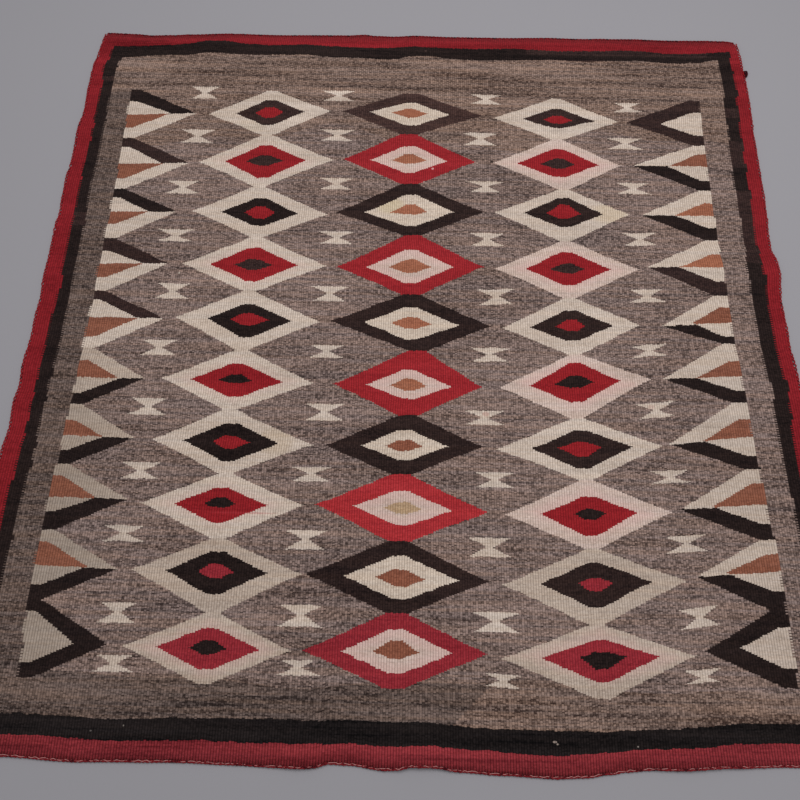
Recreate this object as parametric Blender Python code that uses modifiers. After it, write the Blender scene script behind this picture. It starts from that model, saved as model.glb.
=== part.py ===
"""A hand-woven, weft-faced wool rug lying flat, with the twined cords along its four edges.

Metres, +Z up. +Y runs along the warps, away from the near end. The underside lies on Z = 0, and
the origin is under the middle of the rug. Edge bends and lifts are given in millimetres.
"""

import math
from collections import namedtuple

import bmesh
import bpy

MM = 0.001

# Driving sizes
HALF_WIDTH = 684.5 * MM
HALF_LENGTH = 714.5 * MM
CLOTH_THICKNESS = 3.0 * MM
CORD_DIAMETER = 3.2 * MM
GAP = 0.3 * MM

# Spacing of the mesh lines, and how many sides a cord has
CLOTH_COLUMNS = 116
CLOTH_ROWS = 96
CORD_BEVEL = 1

# The small yarn end that stands out of the right-hand cord, near the far end
YARN_END_PLACE = 632 * MM
YARN_END_HALF_LENGTH = 11 * MM
YARN_END_REACH = 5 * MM
YARN_END_DIAMETER = 4.4 * MM

# A bend of an edge: its place along the edge from the middle, and how far outside the straight
# line it lies, in millimetres. Places grow to the right and away from the near end.
Bend = namedtuple("Bend", "place out")

LEFT_BENDS = (
    Bend(-718, 4), Bend(-460, 6), Bend(-244, 5), Bend(-204, 1), Bend(-154, 4),
    Bend(-124, 0), Bend(-84, 3), Bend(-24, -1), Bend(16, 0), Bend(56, -2),
    Bend(96, 1), Bend(156, 0), Bend(216, 1), Bend(246, -2), Bend(276, 0),
    Bend(336, 1), Bend(356, -2), Bend(396, -2), Bend(456, 0), Bend(496, -5),
    Bend(556, -3), Bend(622, -3), Bend(656, -8), Bend(690, -11), Bend(718, -15),
)
RIGHT_BENDS = (
    Bend(-718, -2), Bend(-460, -2), Bend(-200, -3), Bend(-80, -5), Bend(-44, -7),
    Bend(-24, -9), Bend(16, -8), Bend(76, -9), Bend(96, -7), Bend(136, -2),
    Bend(160, -3), Bend(190, -10), Bend(226, -9), Bend(266, -5), Bend(316, -3),
    Bend(366, -2), Bend(466, 0), Bend(516, 3), Bend(566, 5), Bend(616, 5),
    Bend(656, 3), Bend(700, 0), Bend(718, -3),
)
NEAR_BENDS = (
    Bend(-688, -6), Bend(-590, -4), Bend(-480, 1), Bend(-420, 0), Bend(-325, -1),
    Bend(-250, 1), Bend(-190, 3), Bend(-155, 4), Bend(-135, 3), Bend(-110, -3),
    Bend(-80, -2), Bend(-30, 4), Bend(-10, 3), Bend(10, -1), Bend(40, -1),
    Bend(82, 4), Bend(140, 7), Bend(222, 10), Bend(262, 8), Bend(300, 3),
    Bend(322, -1), Bend(360, -4), Bend(400, -4), Bend(480, -9), Bend(560, -12),
    Bend(600, -12), Bend(688, -9),
)
FAR_BENDS = (
    Bend(-688, -3), Bend(-620, -5), Bend(-588, -8), Bend(-540, -6), Bend(-500, -3),
    Bend(-420, -1), Bend(-300, 0), Bend(-220, 2), Bend(-160, 3), Bend(-120, 6),
    Bend(-98, 3), Bend(-60, 2), Bend(-8, 6), Bend(60, 4), Bend(140, 4),
    Bend(285, 5), Bend(335, 4), Bend(400, 7), Bend(470, 8), Bend(535, 6),
    Bend(620, 7), Bend(660, 4), Bend(688, -1),
)

# A place where an edge stands a little off the floor: the middle of the lift, how far it
# reaches each way across and along, and its height at the middle, all in millimetres.
Lift = namedtuple("Lift", "x y across along height")

EDGE_LIFTS = (
    Lift(20, -718, 75, 60, 4.0),
    Lift(-160, -718, 60, 45, 2.2),
    Lift(440, -718, 130, 55, 2.6),
    Lift(-690, -300, 60, 110, 2.4),
    Lift(690, 140, 55, 80, 3.0),
    Lift(690, 700, 95, 85, 4.5),
    Lift(-400, 718, 95, 55, 2.4),
    Lift(300, 718, 120, 50, 2.0),
)

RED_WOOL = ("red wool", (0.33, 0.014, 0.018, 1.0), 0.9)
MAROON_CORD = ("maroon edge cord", (0.085, 0.010, 0.014, 1.0), 0.9)
PALE_CORD = ("pale end cord", (0.42, 0.19, 0.17, 1.0), 0.9)


def clear_scene():
    """Removes every object of the scene that the script starts in."""
    for old in list(bpy.data.objects):
        bpy.data.objects.remove(old, do_unlink=True)


def new_collection(name):
    """A collection of that name, linked to the scene."""
    made = bpy.data.collections.new(name)
    bpy.context.scene.collection.children.link(made)
    return made


def wool(name, colour, roughness):
    """A plain wool material."""
    made = bpy.data.materials.new(name)
    made.use_nodes = True
    shader = made.node_tree.nodes["Principled BSDF"]
    shader.inputs["Base Color"].default_value = colour
    shader.inputs["Roughness"].default_value = roughness
    shader.inputs["Metallic"].default_value = 0.0
    return made


def bend_at(bends, place):
    """How far outside its straight line an edge lies at a place along it, in metres."""
    place = place / MM
    if place <= bends[0].place:
        return bends[0].out * MM
    for before, after in zip(bends, bends[1:]):
        if place <= after.place:
            share = (place - before.place) / (after.place - before.place)
            eased = share * share * (3 - 2 * share)
            return (before.out + (after.out - before.out) * eased) * MM
    return bends[-1].out * MM


def bell(offset, reach):
    """1 at the middle, falling smoothly to 0 at the reach."""
    share = abs(offset) / reach
    return 0.5 + 0.5 * math.cos(math.pi * share) if share < 1 else 0.0


def lift_at(x, y):
    """How far the cloth stands off the floor at a place, in metres."""
    return sum(
        lift.height * MM * bell(x / MM - lift.x, lift.across) * bell(y / MM - lift.y, lift.along)
        for lift in EDGE_LIFTS
    )


def cloth_point(across, along):
    """The place of a point of the cloth in plan: across runs 0 to 1 from left to right, along
    0 to 1 from the near end to the far end."""
    straight_x = (2 * across - 1) * HALF_WIDTH
    straight_y = (2 * along - 1) * HALF_LENGTH
    left = -HALF_WIDTH - bend_at(LEFT_BENDS, straight_y)
    right = HALF_WIDTH + bend_at(RIGHT_BENDS, straight_y)
    near = -HALF_LENGTH - bend_at(NEAR_BENDS, straight_x)
    far = HALF_LENGTH + bend_at(FAR_BENDS, straight_x)
    return left + (right - left) * across, near + (far - near) * along


def shares(count):
    """The numbers from 0 to 1 in that many equal steps."""
    return [step / count for step in range(count + 1)]


def edge_lines():
    """The four edges of the cloth in plan, as lists of points: left, right, near, far."""
    rows, columns = shares(CLOTH_ROWS), shares(CLOTH_COLUMNS)
    return (
        [cloth_point(0, along) for along in rows],
        [cloth_point(1, along) for along in rows],
        [cloth_point(across, 0) for across in columns],
        [cloth_point(across, 1) for across in columns],
    )


def set_off(line, distance):
    """A line moved sideways, to its right, by a distance that stays the same at its corners."""
    moved = []
    for index, (x, y) in enumerate(line):
        before = line[max(index - 1, 0)]
        after = line[min(index + 1, len(line) - 1)]
        turns = []
        for start, end in ((before, (x, y)), ((x, y), after)):
            length = math.dist(start, end)
            if length > 0:
                turns.append(((end[1] - start[1]) / length, (start[0] - end[0]) / length))
        side_x = sum(turn[0] for turn in turns) / len(turns)
        side_y = sum(turn[1] for turn in turns) / len(turns)
        spread = distance / (side_x * side_x + side_y * side_y)
        moved.append((x + side_x * spread, y + side_y * spread))
    return moved


def cord_lines():
    """The middle lines of the four edge cords in plan, the gap away from the cloth's edges."""
    left, right, near, far = edge_lines()
    away = GAP + CORD_DIAMETER / 2
    return (
        set_off(left, -away),
        set_off(right, away),
        set_off(near, away),
        set_off(far, -away),
    )


def middle_of_box():
    """The middle of the rug's outline with its cords and yarn end, which becomes the origin."""
    points = [point for line in cord_lines() for point in line]
    radius = CORD_DIAMETER / 2
    lowest_x = min(x for x, _ in points) - radius
    highest_x = max(x for x, _ in points) + radius
    yarn_end = yarn_end_line(cord_lines()[1])
    highest_x = max(highest_x, max(x for x, _ in yarn_end) + YARN_END_DIAMETER / 2)
    lowest_y = min(y for _, y in points) - radius
    highest_y = max(y for _, y in points) + radius
    return (lowest_x + highest_x) / 2, (lowest_y + highest_y) / 2


def build_cloth(collection, origin, material):
    """The woven cloth: one closed sheet of even thickness with the bent outline and the lifts."""
    shape = bmesh.new()
    bmesh.ops.create_grid(shape, x_segments=CLOTH_COLUMNS, y_segments=CLOTH_ROWS, size=0.5)
    for vert in shape.verts:
        x, y = cloth_point(vert.co.x + 0.5, vert.co.y + 0.5)
        vert.co = (x - origin[0], y - origin[1], lift_at(x, y))
    mesh = bpy.data.meshes.new("rug_cloth")
    shape.to_mesh(mesh)
    shape.free()
    mesh.materials.append(material)
    cloth = bpy.data.objects.new("rug_cloth", mesh)
    collection.objects.link(cloth)
    shell = cloth.modifiers.new("thickness", "SOLIDIFY")
    shell.thickness = CLOTH_THICKNESS
    shell.offset = 1.0
    shell.use_even_offset = False
    return cloth


def build_tube(collection, name, points, diameter, material):
    """A round cord through points in space, closed at both ends."""
    curve = bpy.data.curves.new(name, "CURVE")
    curve.dimensions = "3D"
    curve.bevel_depth = diameter / 2
    curve.bevel_resolution = CORD_BEVEL
    curve.use_fill_caps = True
    spline = curve.splines.new("POLY")
    spline.points.add(len(points) - 1)
    for point, place in zip(spline.points, points):
        point.co = (*place, 1.0)
    curve.materials.append(material)
    tube = bpy.data.objects.new(name, curve)
    collection.objects.link(tube)
    return tube


def raised(line, origin, diameter):
    """Points in space for a cord of that diameter on a plan line, resting as the cloth does."""
    return [
        (x - origin[0], y - origin[1], lift_at(x, y) + diameter / 2 + 0.1 * MM)
        for x, y in line
    ]


def build_edge_cords(collection, origin, maroon, pale):
    """The cords that are twined along the edges. The end cords stop short of the side cords."""
    left, right, near, far = cord_lines()
    for name, line, material in (
        ("side_cord_left", left, maroon),
        ("side_cord_right", right, maroon),
        ("end_cord_near", near[1:-1], pale),
        ("end_cord_far", far[1:-1], maroon),
    ):
        build_tube(collection, name, raised(line, origin, CORD_DIAMETER), CORD_DIAMETER, material)


def across_at(line, y):
    """How far to the right a plan line that runs away from the near end is, at a place along."""
    for (x_before, y_before), (x_after, y_after) in zip(line, line[1:]):
        if y <= y_after:
            share = (y - y_before) / (y_after - y_before)
            return x_before + (x_after - x_before) * share
    return line[-1][0]


def yarn_end_line(cord_line):
    """The plan line of the yarn end: a short bow just outside the right-hand cord."""
    steps = 6
    away = CORD_DIAMETER / 2 + GAP + YARN_END_DIAMETER / 4
    line = []
    for step in range(steps + 1):
        turn = math.pi * step / steps
        y = YARN_END_PLACE - YARN_END_HALF_LENGTH * math.cos(turn)
        line.append((across_at(cord_line, y) + away + YARN_END_REACH * math.sin(turn), y))
    return line


def build_yarn_end(collection, origin, material):
    """The tied-in end of a weft that sticks out beside the right-hand cord."""
    line = yarn_end_line(cord_lines()[1])
    points = raised(line, origin, YARN_END_DIAMETER)
    build_tube(collection, "yarn_end", points, YARN_END_DIAMETER, material)


def main():
    clear_scene()
    parts = new_collection("woven rug")
    red = wool(*RED_WOOL)
    maroon = wool(*MAROON_CORD)
    pale = wool(*PALE_CORD)
    origin = middle_of_box()
    build_cloth(parts, origin, red)
    build_edge_cords(parts, origin, maroon, pale)
    build_yarn_end(parts, origin, maroon)


main()
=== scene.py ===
"""A hand-woven, weft-faced wool rug: its cloth, twined edge cords and yarn end, with their looks.

The cloth is woven on a chart. Each warp makes a rib, each pair of picks a step along it, and the
chart says which yarn covers which rib at which pick. Sizes on the chart are in millimetres.
"""

import logging
import math
from dataclasses import dataclass, field
from enum import Enum, IntEnum
from functools import cache
from typing import NamedTuple, Sequence

import bmesh
import bpy
import numpy as np
from mathutils import Matrix, Vector


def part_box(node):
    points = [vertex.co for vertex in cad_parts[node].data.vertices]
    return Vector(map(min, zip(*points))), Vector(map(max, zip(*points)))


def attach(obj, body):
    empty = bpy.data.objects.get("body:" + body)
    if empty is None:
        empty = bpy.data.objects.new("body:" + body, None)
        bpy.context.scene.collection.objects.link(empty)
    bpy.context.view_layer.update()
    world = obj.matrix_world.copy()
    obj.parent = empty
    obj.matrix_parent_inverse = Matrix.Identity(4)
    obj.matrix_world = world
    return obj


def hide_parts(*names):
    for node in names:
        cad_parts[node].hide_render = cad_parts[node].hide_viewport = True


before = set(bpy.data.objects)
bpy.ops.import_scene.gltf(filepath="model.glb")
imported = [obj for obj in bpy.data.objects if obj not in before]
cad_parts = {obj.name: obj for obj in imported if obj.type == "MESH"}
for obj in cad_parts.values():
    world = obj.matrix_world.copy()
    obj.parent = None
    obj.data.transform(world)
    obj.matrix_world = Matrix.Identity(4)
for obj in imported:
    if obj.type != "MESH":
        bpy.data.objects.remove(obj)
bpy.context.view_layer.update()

MM = 0.001
TINY = 1e-6

Socket = bpy.types.NodeSocket
Colour = tuple[float, float, float]

log = logging.getLogger("rug")


class Bend(NamedTuple):
    """How far outside its straight line an edge lies, at a place along it from its middle."""

    place: float
    out: float


class Lift(NamedTuple):
    """A place where an edge stands a little off the floor: its middle, reach and height."""

    x: float
    y: float
    across: float
    along: float
    height: float


# How the four edges bend, and where they stand off the floor.
LEFT_BENDS = (
    Bend(-718, 4), Bend(-460, 6), Bend(-244, 5), Bend(-204, 1), Bend(-154, 4),
    Bend(-124, 0), Bend(-84, 3), Bend(-24, -1), Bend(16, 0), Bend(56, -2),
    Bend(96, 1), Bend(156, 0), Bend(216, 1), Bend(246, -2), Bend(276, 0),
    Bend(336, 1), Bend(356, -2), Bend(396, -2), Bend(456, 0), Bend(496, -5),
    Bend(556, -3), Bend(622, -3), Bend(656, -8), Bend(690, -11), Bend(718, -15),
)
RIGHT_BENDS = (
    Bend(-718, -2), Bend(-460, -2), Bend(-200, -3), Bend(-80, -5), Bend(-44, -7),
    Bend(-24, -9), Bend(16, -8), Bend(76, -9), Bend(96, -7), Bend(136, -2),
    Bend(160, -3), Bend(190, -10), Bend(226, -9), Bend(266, -5), Bend(316, -3),
    Bend(366, -2), Bend(466, 0), Bend(516, 3), Bend(566, 5), Bend(616, 5),
    Bend(656, 3), Bend(700, 0), Bend(718, -3),
)
NEAR_BENDS = (
    Bend(-688, -6), Bend(-590, -4), Bend(-480, 1), Bend(-420, 0), Bend(-325, -1),
    Bend(-250, 1), Bend(-190, 3), Bend(-155, 4), Bend(-135, 3), Bend(-110, -3),
    Bend(-80, -2), Bend(-30, 4), Bend(-10, 3), Bend(10, -1), Bend(40, -1),
    Bend(82, 4), Bend(140, 7), Bend(222, 10), Bend(262, 8), Bend(300, 3),
    Bend(322, -1), Bend(360, -4), Bend(400, -4), Bend(480, -9), Bend(560, -12),
    Bend(600, -12), Bend(688, -9),
)
FAR_BENDS = (
    Bend(-688, -3), Bend(-620, -5), Bend(-588, -8), Bend(-540, -6), Bend(-500, -3),
    Bend(-420, -1), Bend(-300, 0), Bend(-220, 2), Bend(-160, 3), Bend(-120, 6),
    Bend(-98, 3), Bend(-60, 2), Bend(-8, 6), Bend(60, 4), Bend(140, 4),
    Bend(285, 5), Bend(335, 4), Bend(400, 7), Bend(470, 8), Bend(535, 6),
    Bend(620, 7), Bend(660, 4), Bend(688, -1),
)
EDGE_LIFTS = (
    Lift(20, -718, 75, 60, 4.0),
    Lift(-160, -718, 60, 45, 2.2),
    Lift(440, -718, 130, 55, 2.6),
    Lift(-690, -300, 60, 110, 2.4),
    Lift(690, 140, 55, 80, 3.0),
    Lift(690, 700, 95, 85, 4.5),
    Lift(-400, 718, 95, 55, 2.4),
    Lift(300, 718, 120, 50, 2.0),
)


class Yarn(IntEnum):
    """The yarns of the rug, in the order of their places on the colour card."""

    FIELD = 0
    FIELD_BROWN = 1
    FIELD_DARK = 2
    BORDER_RED = 3
    NEAR_RED = 4
    RING_RED = 5
    BRIGHT_RED = 6
    ROSE_RED = 7
    BLACK = 8
    BROWN_BLACK = 9
    CREAM = 10
    WARM_CREAM = 11
    PINK_CREAM = 12
    GREY_CREAM = 13
    RUST = 14
    MID_RUST = 15
    DARK_RUST = 16
    TAN = 17
    SOFT_BLACK = 18
    FADED_BLACK = 19
    CLEAR_RED = 20
    COAL_BLACK = 21


@dataclass(frozen=True)
class YarnTone:
    """The darkest and lightest colour that a yarn runs through, out of 255, and its nature.

    Attributes:
        dark: the colour of its darkest stretches.
        light: the colour of its lightest stretches.
        heather: how far short flecks of its fleece swing it between the two, 0 to 1.
        takes_dye: how readily loose red dye shows on it, 0 to 1.
    """

    dark: Colour
    light: Colour
    heather: float
    takes_dye: float = 0.0


YARN_CARD = {
    Yarn.FIELD: YarnTone((63, 50, 47), (171, 146, 138), 1.0),
    Yarn.FIELD_BROWN: YarnTone((64, 48, 43), (168, 141, 129), 1.0),
    Yarn.FIELD_DARK: YarnTone((50, 39, 36), (140, 119, 111), 1.0),
    Yarn.BORDER_RED: YarnTone((106, 20, 26), (164, 42, 50), 0.35),
    Yarn.NEAR_RED: YarnTone((108, 32, 38), (172, 64, 71), 0.4),
    Yarn.RING_RED: YarnTone((122, 23, 29), (172, 44, 50), 0.35),
    Yarn.BRIGHT_RED: YarnTone((148, 36, 41), (202, 64, 69), 0.4),
    Yarn.ROSE_RED: YarnTone((122, 30, 40), (176, 58, 67), 0.4),
    Yarn.BLACK: YarnTone((16, 10, 11), (53, 40, 38), 0.5),
    Yarn.BROWN_BLACK: YarnTone((30, 20, 21), (74, 54, 51), 0.6),
    Yarn.CREAM: YarnTone((178, 159, 144), (236, 218, 205), 0.4, 0.5),
    Yarn.WARM_CREAM: YarnTone((182, 162, 146), (240, 222, 206), 0.4, 0.8),
    Yarn.PINK_CREAM: YarnTone((178, 155, 142), (236, 212, 202), 0.4, 1.0),
    Yarn.GREY_CREAM: YarnTone((162, 142, 128), (219, 200, 185), 0.4, 0.8),
    Yarn.RUST: YarnTone((134, 80, 60), (190, 123, 96), 0.4),
    Yarn.MID_RUST: YarnTone((110, 65, 50), (166, 107, 86), 0.45),
    Yarn.DARK_RUST: YarnTone((112, 64, 49), (168, 106, 84), 0.45),
    Yarn.TAN: YarnTone((158, 126, 96), (210, 180, 148), 0.4, 0.3),
    Yarn.SOFT_BLACK: YarnTone((23, 15, 16), (66, 49, 46), 0.5),
    Yarn.FADED_BLACK: YarnTone((42, 28, 28), (92, 68, 63), 0.6),
    Yarn.CLEAR_RED: YarnTone((129, 28, 34), (182, 51, 57), 0.35),
    Yarn.COAL_BLACK: YarnTone((13, 10, 11), (46, 39, 39), 0.5),
}


def linear(colour: Sequence[float]) -> tuple[float, float, float, float]:
    """Turns a colour out of 255, as a screen shows it, into light values.

    Args:
        colour: red, green and blue out of 255.

    Returns:
        Red, green, blue and a full alpha, as a shader takes them.
    """
    shares = [value / 255 for value in colour]
    lit = [s / 12.92 if s <= 0.04045 else ((s + 0.055) / 1.055) ** 2.4 for s in shares]
    return (lit[0], lit[1], lit[2], 1.0)


class Edge(Enum):
    """The four edges of the cloth."""

    LEFT = "left"
    RIGHT = "right"
    NEAR = "near"
    FAR = "far"


@dataclass(frozen=True)
class ClothPlan:
    """The cloth's outline and the way it lies, in millimetres from the cloth's own middle.

    Attributes:
        half_width: from the middle to the straight line of a side.
        half_length: from the middle to the straight line of an end.
        stations_across: steps across at which the solid cloth has its points.
        stations_along: steps along at which the solid cloth has its points.
    """

    half_width: float = 684.5
    half_length: float = 714.5
    stations_across: int = 116
    stations_along: int = 96

    def bend(self, bends: Sequence[Bend], places: np.ndarray) -> np.ndarray:
        """How far outside its straight line an edge lies.

        Args:
            bends: the edge's table.
            places: places along the edge, from its middle.

        Returns:
            The distance outwards at each place.
        """
        stops = np.array([bend.place for bend in bends])
        outs = np.array([bend.out for bend in bends])
        after = np.clip(np.searchsorted(stops, places), 1, len(stops) - 1)
        share = np.clip((places - stops[after - 1]) / (stops[after] - stops[after - 1]), 0, 1)
        eased = share * share * (3 - 2 * share)
        return outs[after - 1] + (outs[after] - outs[after - 1]) * eased

    def point(self, across: np.ndarray, along: np.ndarray) -> tuple[np.ndarray, np.ndarray]:
        """Where points of the cloth lie in plan.

        Args:
            across: shares of the width, 0 at the left edge to 1 at the right.
            along: shares of the length, 0 at the near end to 1 at the far end.

        Returns:
            Their x and y.
        """
        straight_x = (2 * across - 1) * self.half_width
        straight_y = (2 * along - 1) * self.half_length
        left = -self.half_width - self.bend(LEFT_BENDS, straight_y)
        right = self.half_width + self.bend(RIGHT_BENDS, straight_y)
        near = -self.half_length - self.bend(NEAR_BENDS, straight_x)
        far = self.half_length + self.bend(FAR_BENDS, straight_x)
        return left + (right - left) * across, near + (far - near) * along

    def lift(self, x: np.ndarray, y: np.ndarray) -> np.ndarray:
        """How far the cloth's underside stands off the floor at places in plan."""
        height = np.zeros(np.broadcast(x, y).shape)
        for rise in EDGE_LIFTS:
            across = np.clip(np.abs(x - rise.x) / rise.across, 0, 1)
            along = np.clip(np.abs(y - rise.y) / rise.along, 0, 1)
            bell = (0.5 + 0.5 * np.cos(np.pi * across)) * (0.5 + 0.5 * np.cos(np.pi * along))
            height = height + rise.height * bell
        return height

    def shift(self) -> tuple[float, float]:
        """How far the frame's solid cloth lies from this plan, right and away, in millimetres."""
        across = np.linspace(0, 1, self.stations_across + 1)
        along = np.linspace(0, 1, self.stations_along + 1)
        x, y = self.point(across[:, None], along[None, :])
        low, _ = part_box("rug_cloth")
        return float(low.x / MM - x.min()), float(low.y / MM - y.min())

    def edge_line(self, edge: Edge, steps: int) -> np.ndarray:
        """Points along one edge in plan.

        Args:
            edge: which edge.
            steps: how many steps to take along it.

        Returns:
            The points, one a row, towards the far end or the right.
        """
        walk = np.linspace(0, 1, steps + 1)
        fixed = np.full_like(walk, 1.0 if edge in (Edge.RIGHT, Edge.FAR) else 0.0)
        if edge in (Edge.LEFT, Edge.RIGHT):
            return np.stack(self.point(fixed, walk), axis=1)
        return np.stack(self.point(walk, fixed), axis=1)


class Stop(NamedTuple):
    """A point of a border line: its place along the line, and its level across it."""

    place: float
    level: float


class Diamond(NamedTuple):
    """A diamond of three colours. Reaches are from its middle; rise is from left tip to right."""

    x: float
    y: float
    left: float
    right: float
    rise: float
    ring_left: float
    ring_right: float
    ring_up: float
    ring_down: float
    eye_left: float
    eye_right: float
    eye_up: float
    eye_down: float


class Neck(NamedTuple):
    """The point where two diamonds of a column meet, or where a column ends."""

    x: float
    y: float


class HalfDiamond(NamedTuple):
    """A half diamond on the side of the field, by its tips and its levels along its base."""

    tip_x: float
    tip_y: float
    inner_x: float
    inner_y: float
    top: float
    inner_top: float
    level: float
    inner_bottom: float
    bottom: float


class Hourglass(NamedTuple):
    """Two small triangles tip to tip: half widths of the upper and lower bar, their reach."""

    x: float
    y: float
    top: float
    bottom: float
    up: float
    down: float
    rise: float = 0.0


# The motifs. Each table counts from the far end to the near end.
LEFT_DIAMONDS = (
    Diamond(-284, 1186, 123, 124, 14, 66, 70, 33, 33, 26, 26, 14, 14),
    Diamond(-284, 1062, 127, 136, 11, 76, 81, 39, 42, 36, 37, 14, 12),
    Diamond(-282, 937, 128, 130, -2, 73, 74, 34, 30, 26, 28, 15, 14),
    Diamond(-284, 819, 131, 136, 1, 78, 83, 37, 36, 34, 36, 12, 12),
    Diamond(-284, 702, 129, 132, -4, 70, 80, 32, 36, 28, 37, 13, 12),
    Diamond(-292, 580, 128, 134, -4, 79, 81, 33, 31, 30, 26, 12, 5),
    Diamond(-291, 465, 130, 139, -4, 78, 82, 34, 34, 27, 31, 11, 12),
    Diamond(-296, 356, 129, 135, 1, 74, 77, 28, 31, 24, 24, 11, 6),
    Diamond(-291, 245, 133, 135, -2, 78, 81, 33, 35, 27, 27, 13, 10),
    Diamond(-290, 128, 130, 125, -2, 78, 78, 30, 31, 27, 27, 12, 9),
)
LEFT_NECKS = (
    Neck(-284, 1243), Neck(-284, 1127), Neck(-288, 999), Neck(-283, 880), Neck(-286, 761),
    Neck(-288, 640), Neck(-297, 524), Neck(-293, 409), Neck(-293, 298), Neck(-288, 181),
    Neck(-291, 77),
)
MIDDLE_DIAMONDS = (
    Diamond(6, 1191, 137, 146, -6, 81, 79, 28, 31, 38, 34, 12, 11),
    Diamond(5, 1070, 130, 131, 0, 74, 74, 36, 30, 33, 34, 16, 8),
    Diamond(10, 945, 143, 140, 8, 87, 82, 41, 32, 37, 31, 18, 5),
    Diamond(12, 821, 137, 134, 6, 82, 78, 38, 35, 41, 36, 16, 13),
    Diamond(14, 700, 145, 143, -4, 84, 86, 34, 32, 34, 36, 14, 10),
    Diamond(12, 577, 130, 126, -1, 72, 72, 30, 25, 30, 30, 13, 9),
    Diamond(6, 464, 133, 132, 3, 71, 72, 29, 25, 31, 30, 11, 9),
    Diamond(4, 355, 141, 140, -8, 81, 82, 30, 28, 29, 30, 11, 9),
    Diamond(2, 241, 149, 141, -7, 88, 93, 35, 33, 35, 40, 14, 14),
    Diamond(-1, 128, 142, 140, 0, 82, 86, 34, 31, 33, 33, 17, 10),
)
MIDDLE_NECKS = (
    Neck(8, 1244), Neck(2, 1136), Neck(6, 1012), Neck(14, 891), Neck(14, 761),
    Neck(26, 645), Neck(10, 520), Neck(2, 413), Neck(0, 300), Neck(-2, 186), Neck(-4, 76),
)
RIGHT_DIAMONDS = (
    Diamond(308, 1181, 131, 123, -4, 71, 74, 29, 21, 27, 28, 11, 9),
    Diamond(305, 1068, 130, 121, -1, 83, 76, 38, 32, 35, 28, 14, 11),
    Diamond(308, 949, 134, 124, 1, 78, 74, 37, 31, 33, 28, 21, 12),
    Diamond(306, 823, 133, 133, 4, 77, 79, 38, 35, 31, 32, 12, 9),
    Diamond(306, 701, 126, 124, 12, 75, 73, 33, 29, 28, 21, 14, 9),
    Diamond(305, 588, 133, 131, 22, 79, 78, 39, 36, 35, 32, 15, 9),
    Diamond(308, 468, 144, 136, 12, 84, 85, 31, 37, 38, 32, 10, 16),
    Diamond(313, 353, 138, 134, 10, 78, 77, 29, 37, 23, 25, 7, 11),
    Diamond(313, 240, 145, 145, 12, 85, 89, 32, 38, 23, 27, 7, 13),
    Diamond(314, 127, 151, 144, 10, 90, 89, 25, 36, 32, 37, 8, 18),
)
RIGHT_NECKS = (
    Neck(308, 1237), Neck(304, 1130), Neck(311, 1006), Neck(306, 885), Neck(305, 760),
    Neck(308, 644), Neck(304, 521), Neck(311, 410), Neck(313, 294), Neck(310, 175),
    Neck(313, 67),
)
LEFT_HALVES = (
    HalfDiamond(-436, 1180, -488, 1179, 1240, 1209, 1173, 1140, 1113),
    HalfDiamond(-436, 1053, -487, 1050, 1113, 1090, 1047, 1012, 987),
    HalfDiamond(-445, 936, -500, 935, 987, 966, 933, 904, 872),
    HalfDiamond(-446, 818, -492, 817, 872, 843, 815, 785, 756),
    HalfDiamond(-437, 701, -485, 700, 756, 738, 701, 660, 638),
    HalfDiamond(-456, 580, -500, 580, 638, 614, 581, 550, 529),
    HalfDiamond(-456, 469, -510, 470, 529, 499, 471, 445, 420),
    HalfDiamond(-452, 361, -505, 363, 420, 400, 363, 338, 307),
    HalfDiamond(-449, 246, -500, 249, 307, 288, 250, 219, 196),
    HalfDiamond(-448, 131, -500, 131, 196, 178, 132, 102, 80),
)
RIGHT_HALVES = (
    HalfDiamond(452, 1178, 520, 1176, 1240, 1208, 1178, 1147, 1121),
    HalfDiamond(455, 1068, 525, 1067, 1121, 1100, 1070, 1034, 1010),
    HalfDiamond(461, 949, 524, 950, 1010, 980, 950, 923, 893),
    HalfDiamond(460, 831, 520, 832, 893, 862, 834, 803, 772),
    HalfDiamond(473, 706, 530, 713, 772, 748, 716, 687, 672),
    HalfDiamond(464, 600, 522, 603, 672, 638, 608, 581, 557),
    HalfDiamond(460, 477, 520, 485, 557, 527, 494, 459, 435),
    HalfDiamond(465, 363, 520, 369, 435, 411, 375, 342, 315),
    HalfDiamond(478, 253, 525, 260, 315, 292, 264, 233, 201),
    HalfDiamond(478, 139, 533, 145, 204, 177, 146, 116, 88),
)
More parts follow.
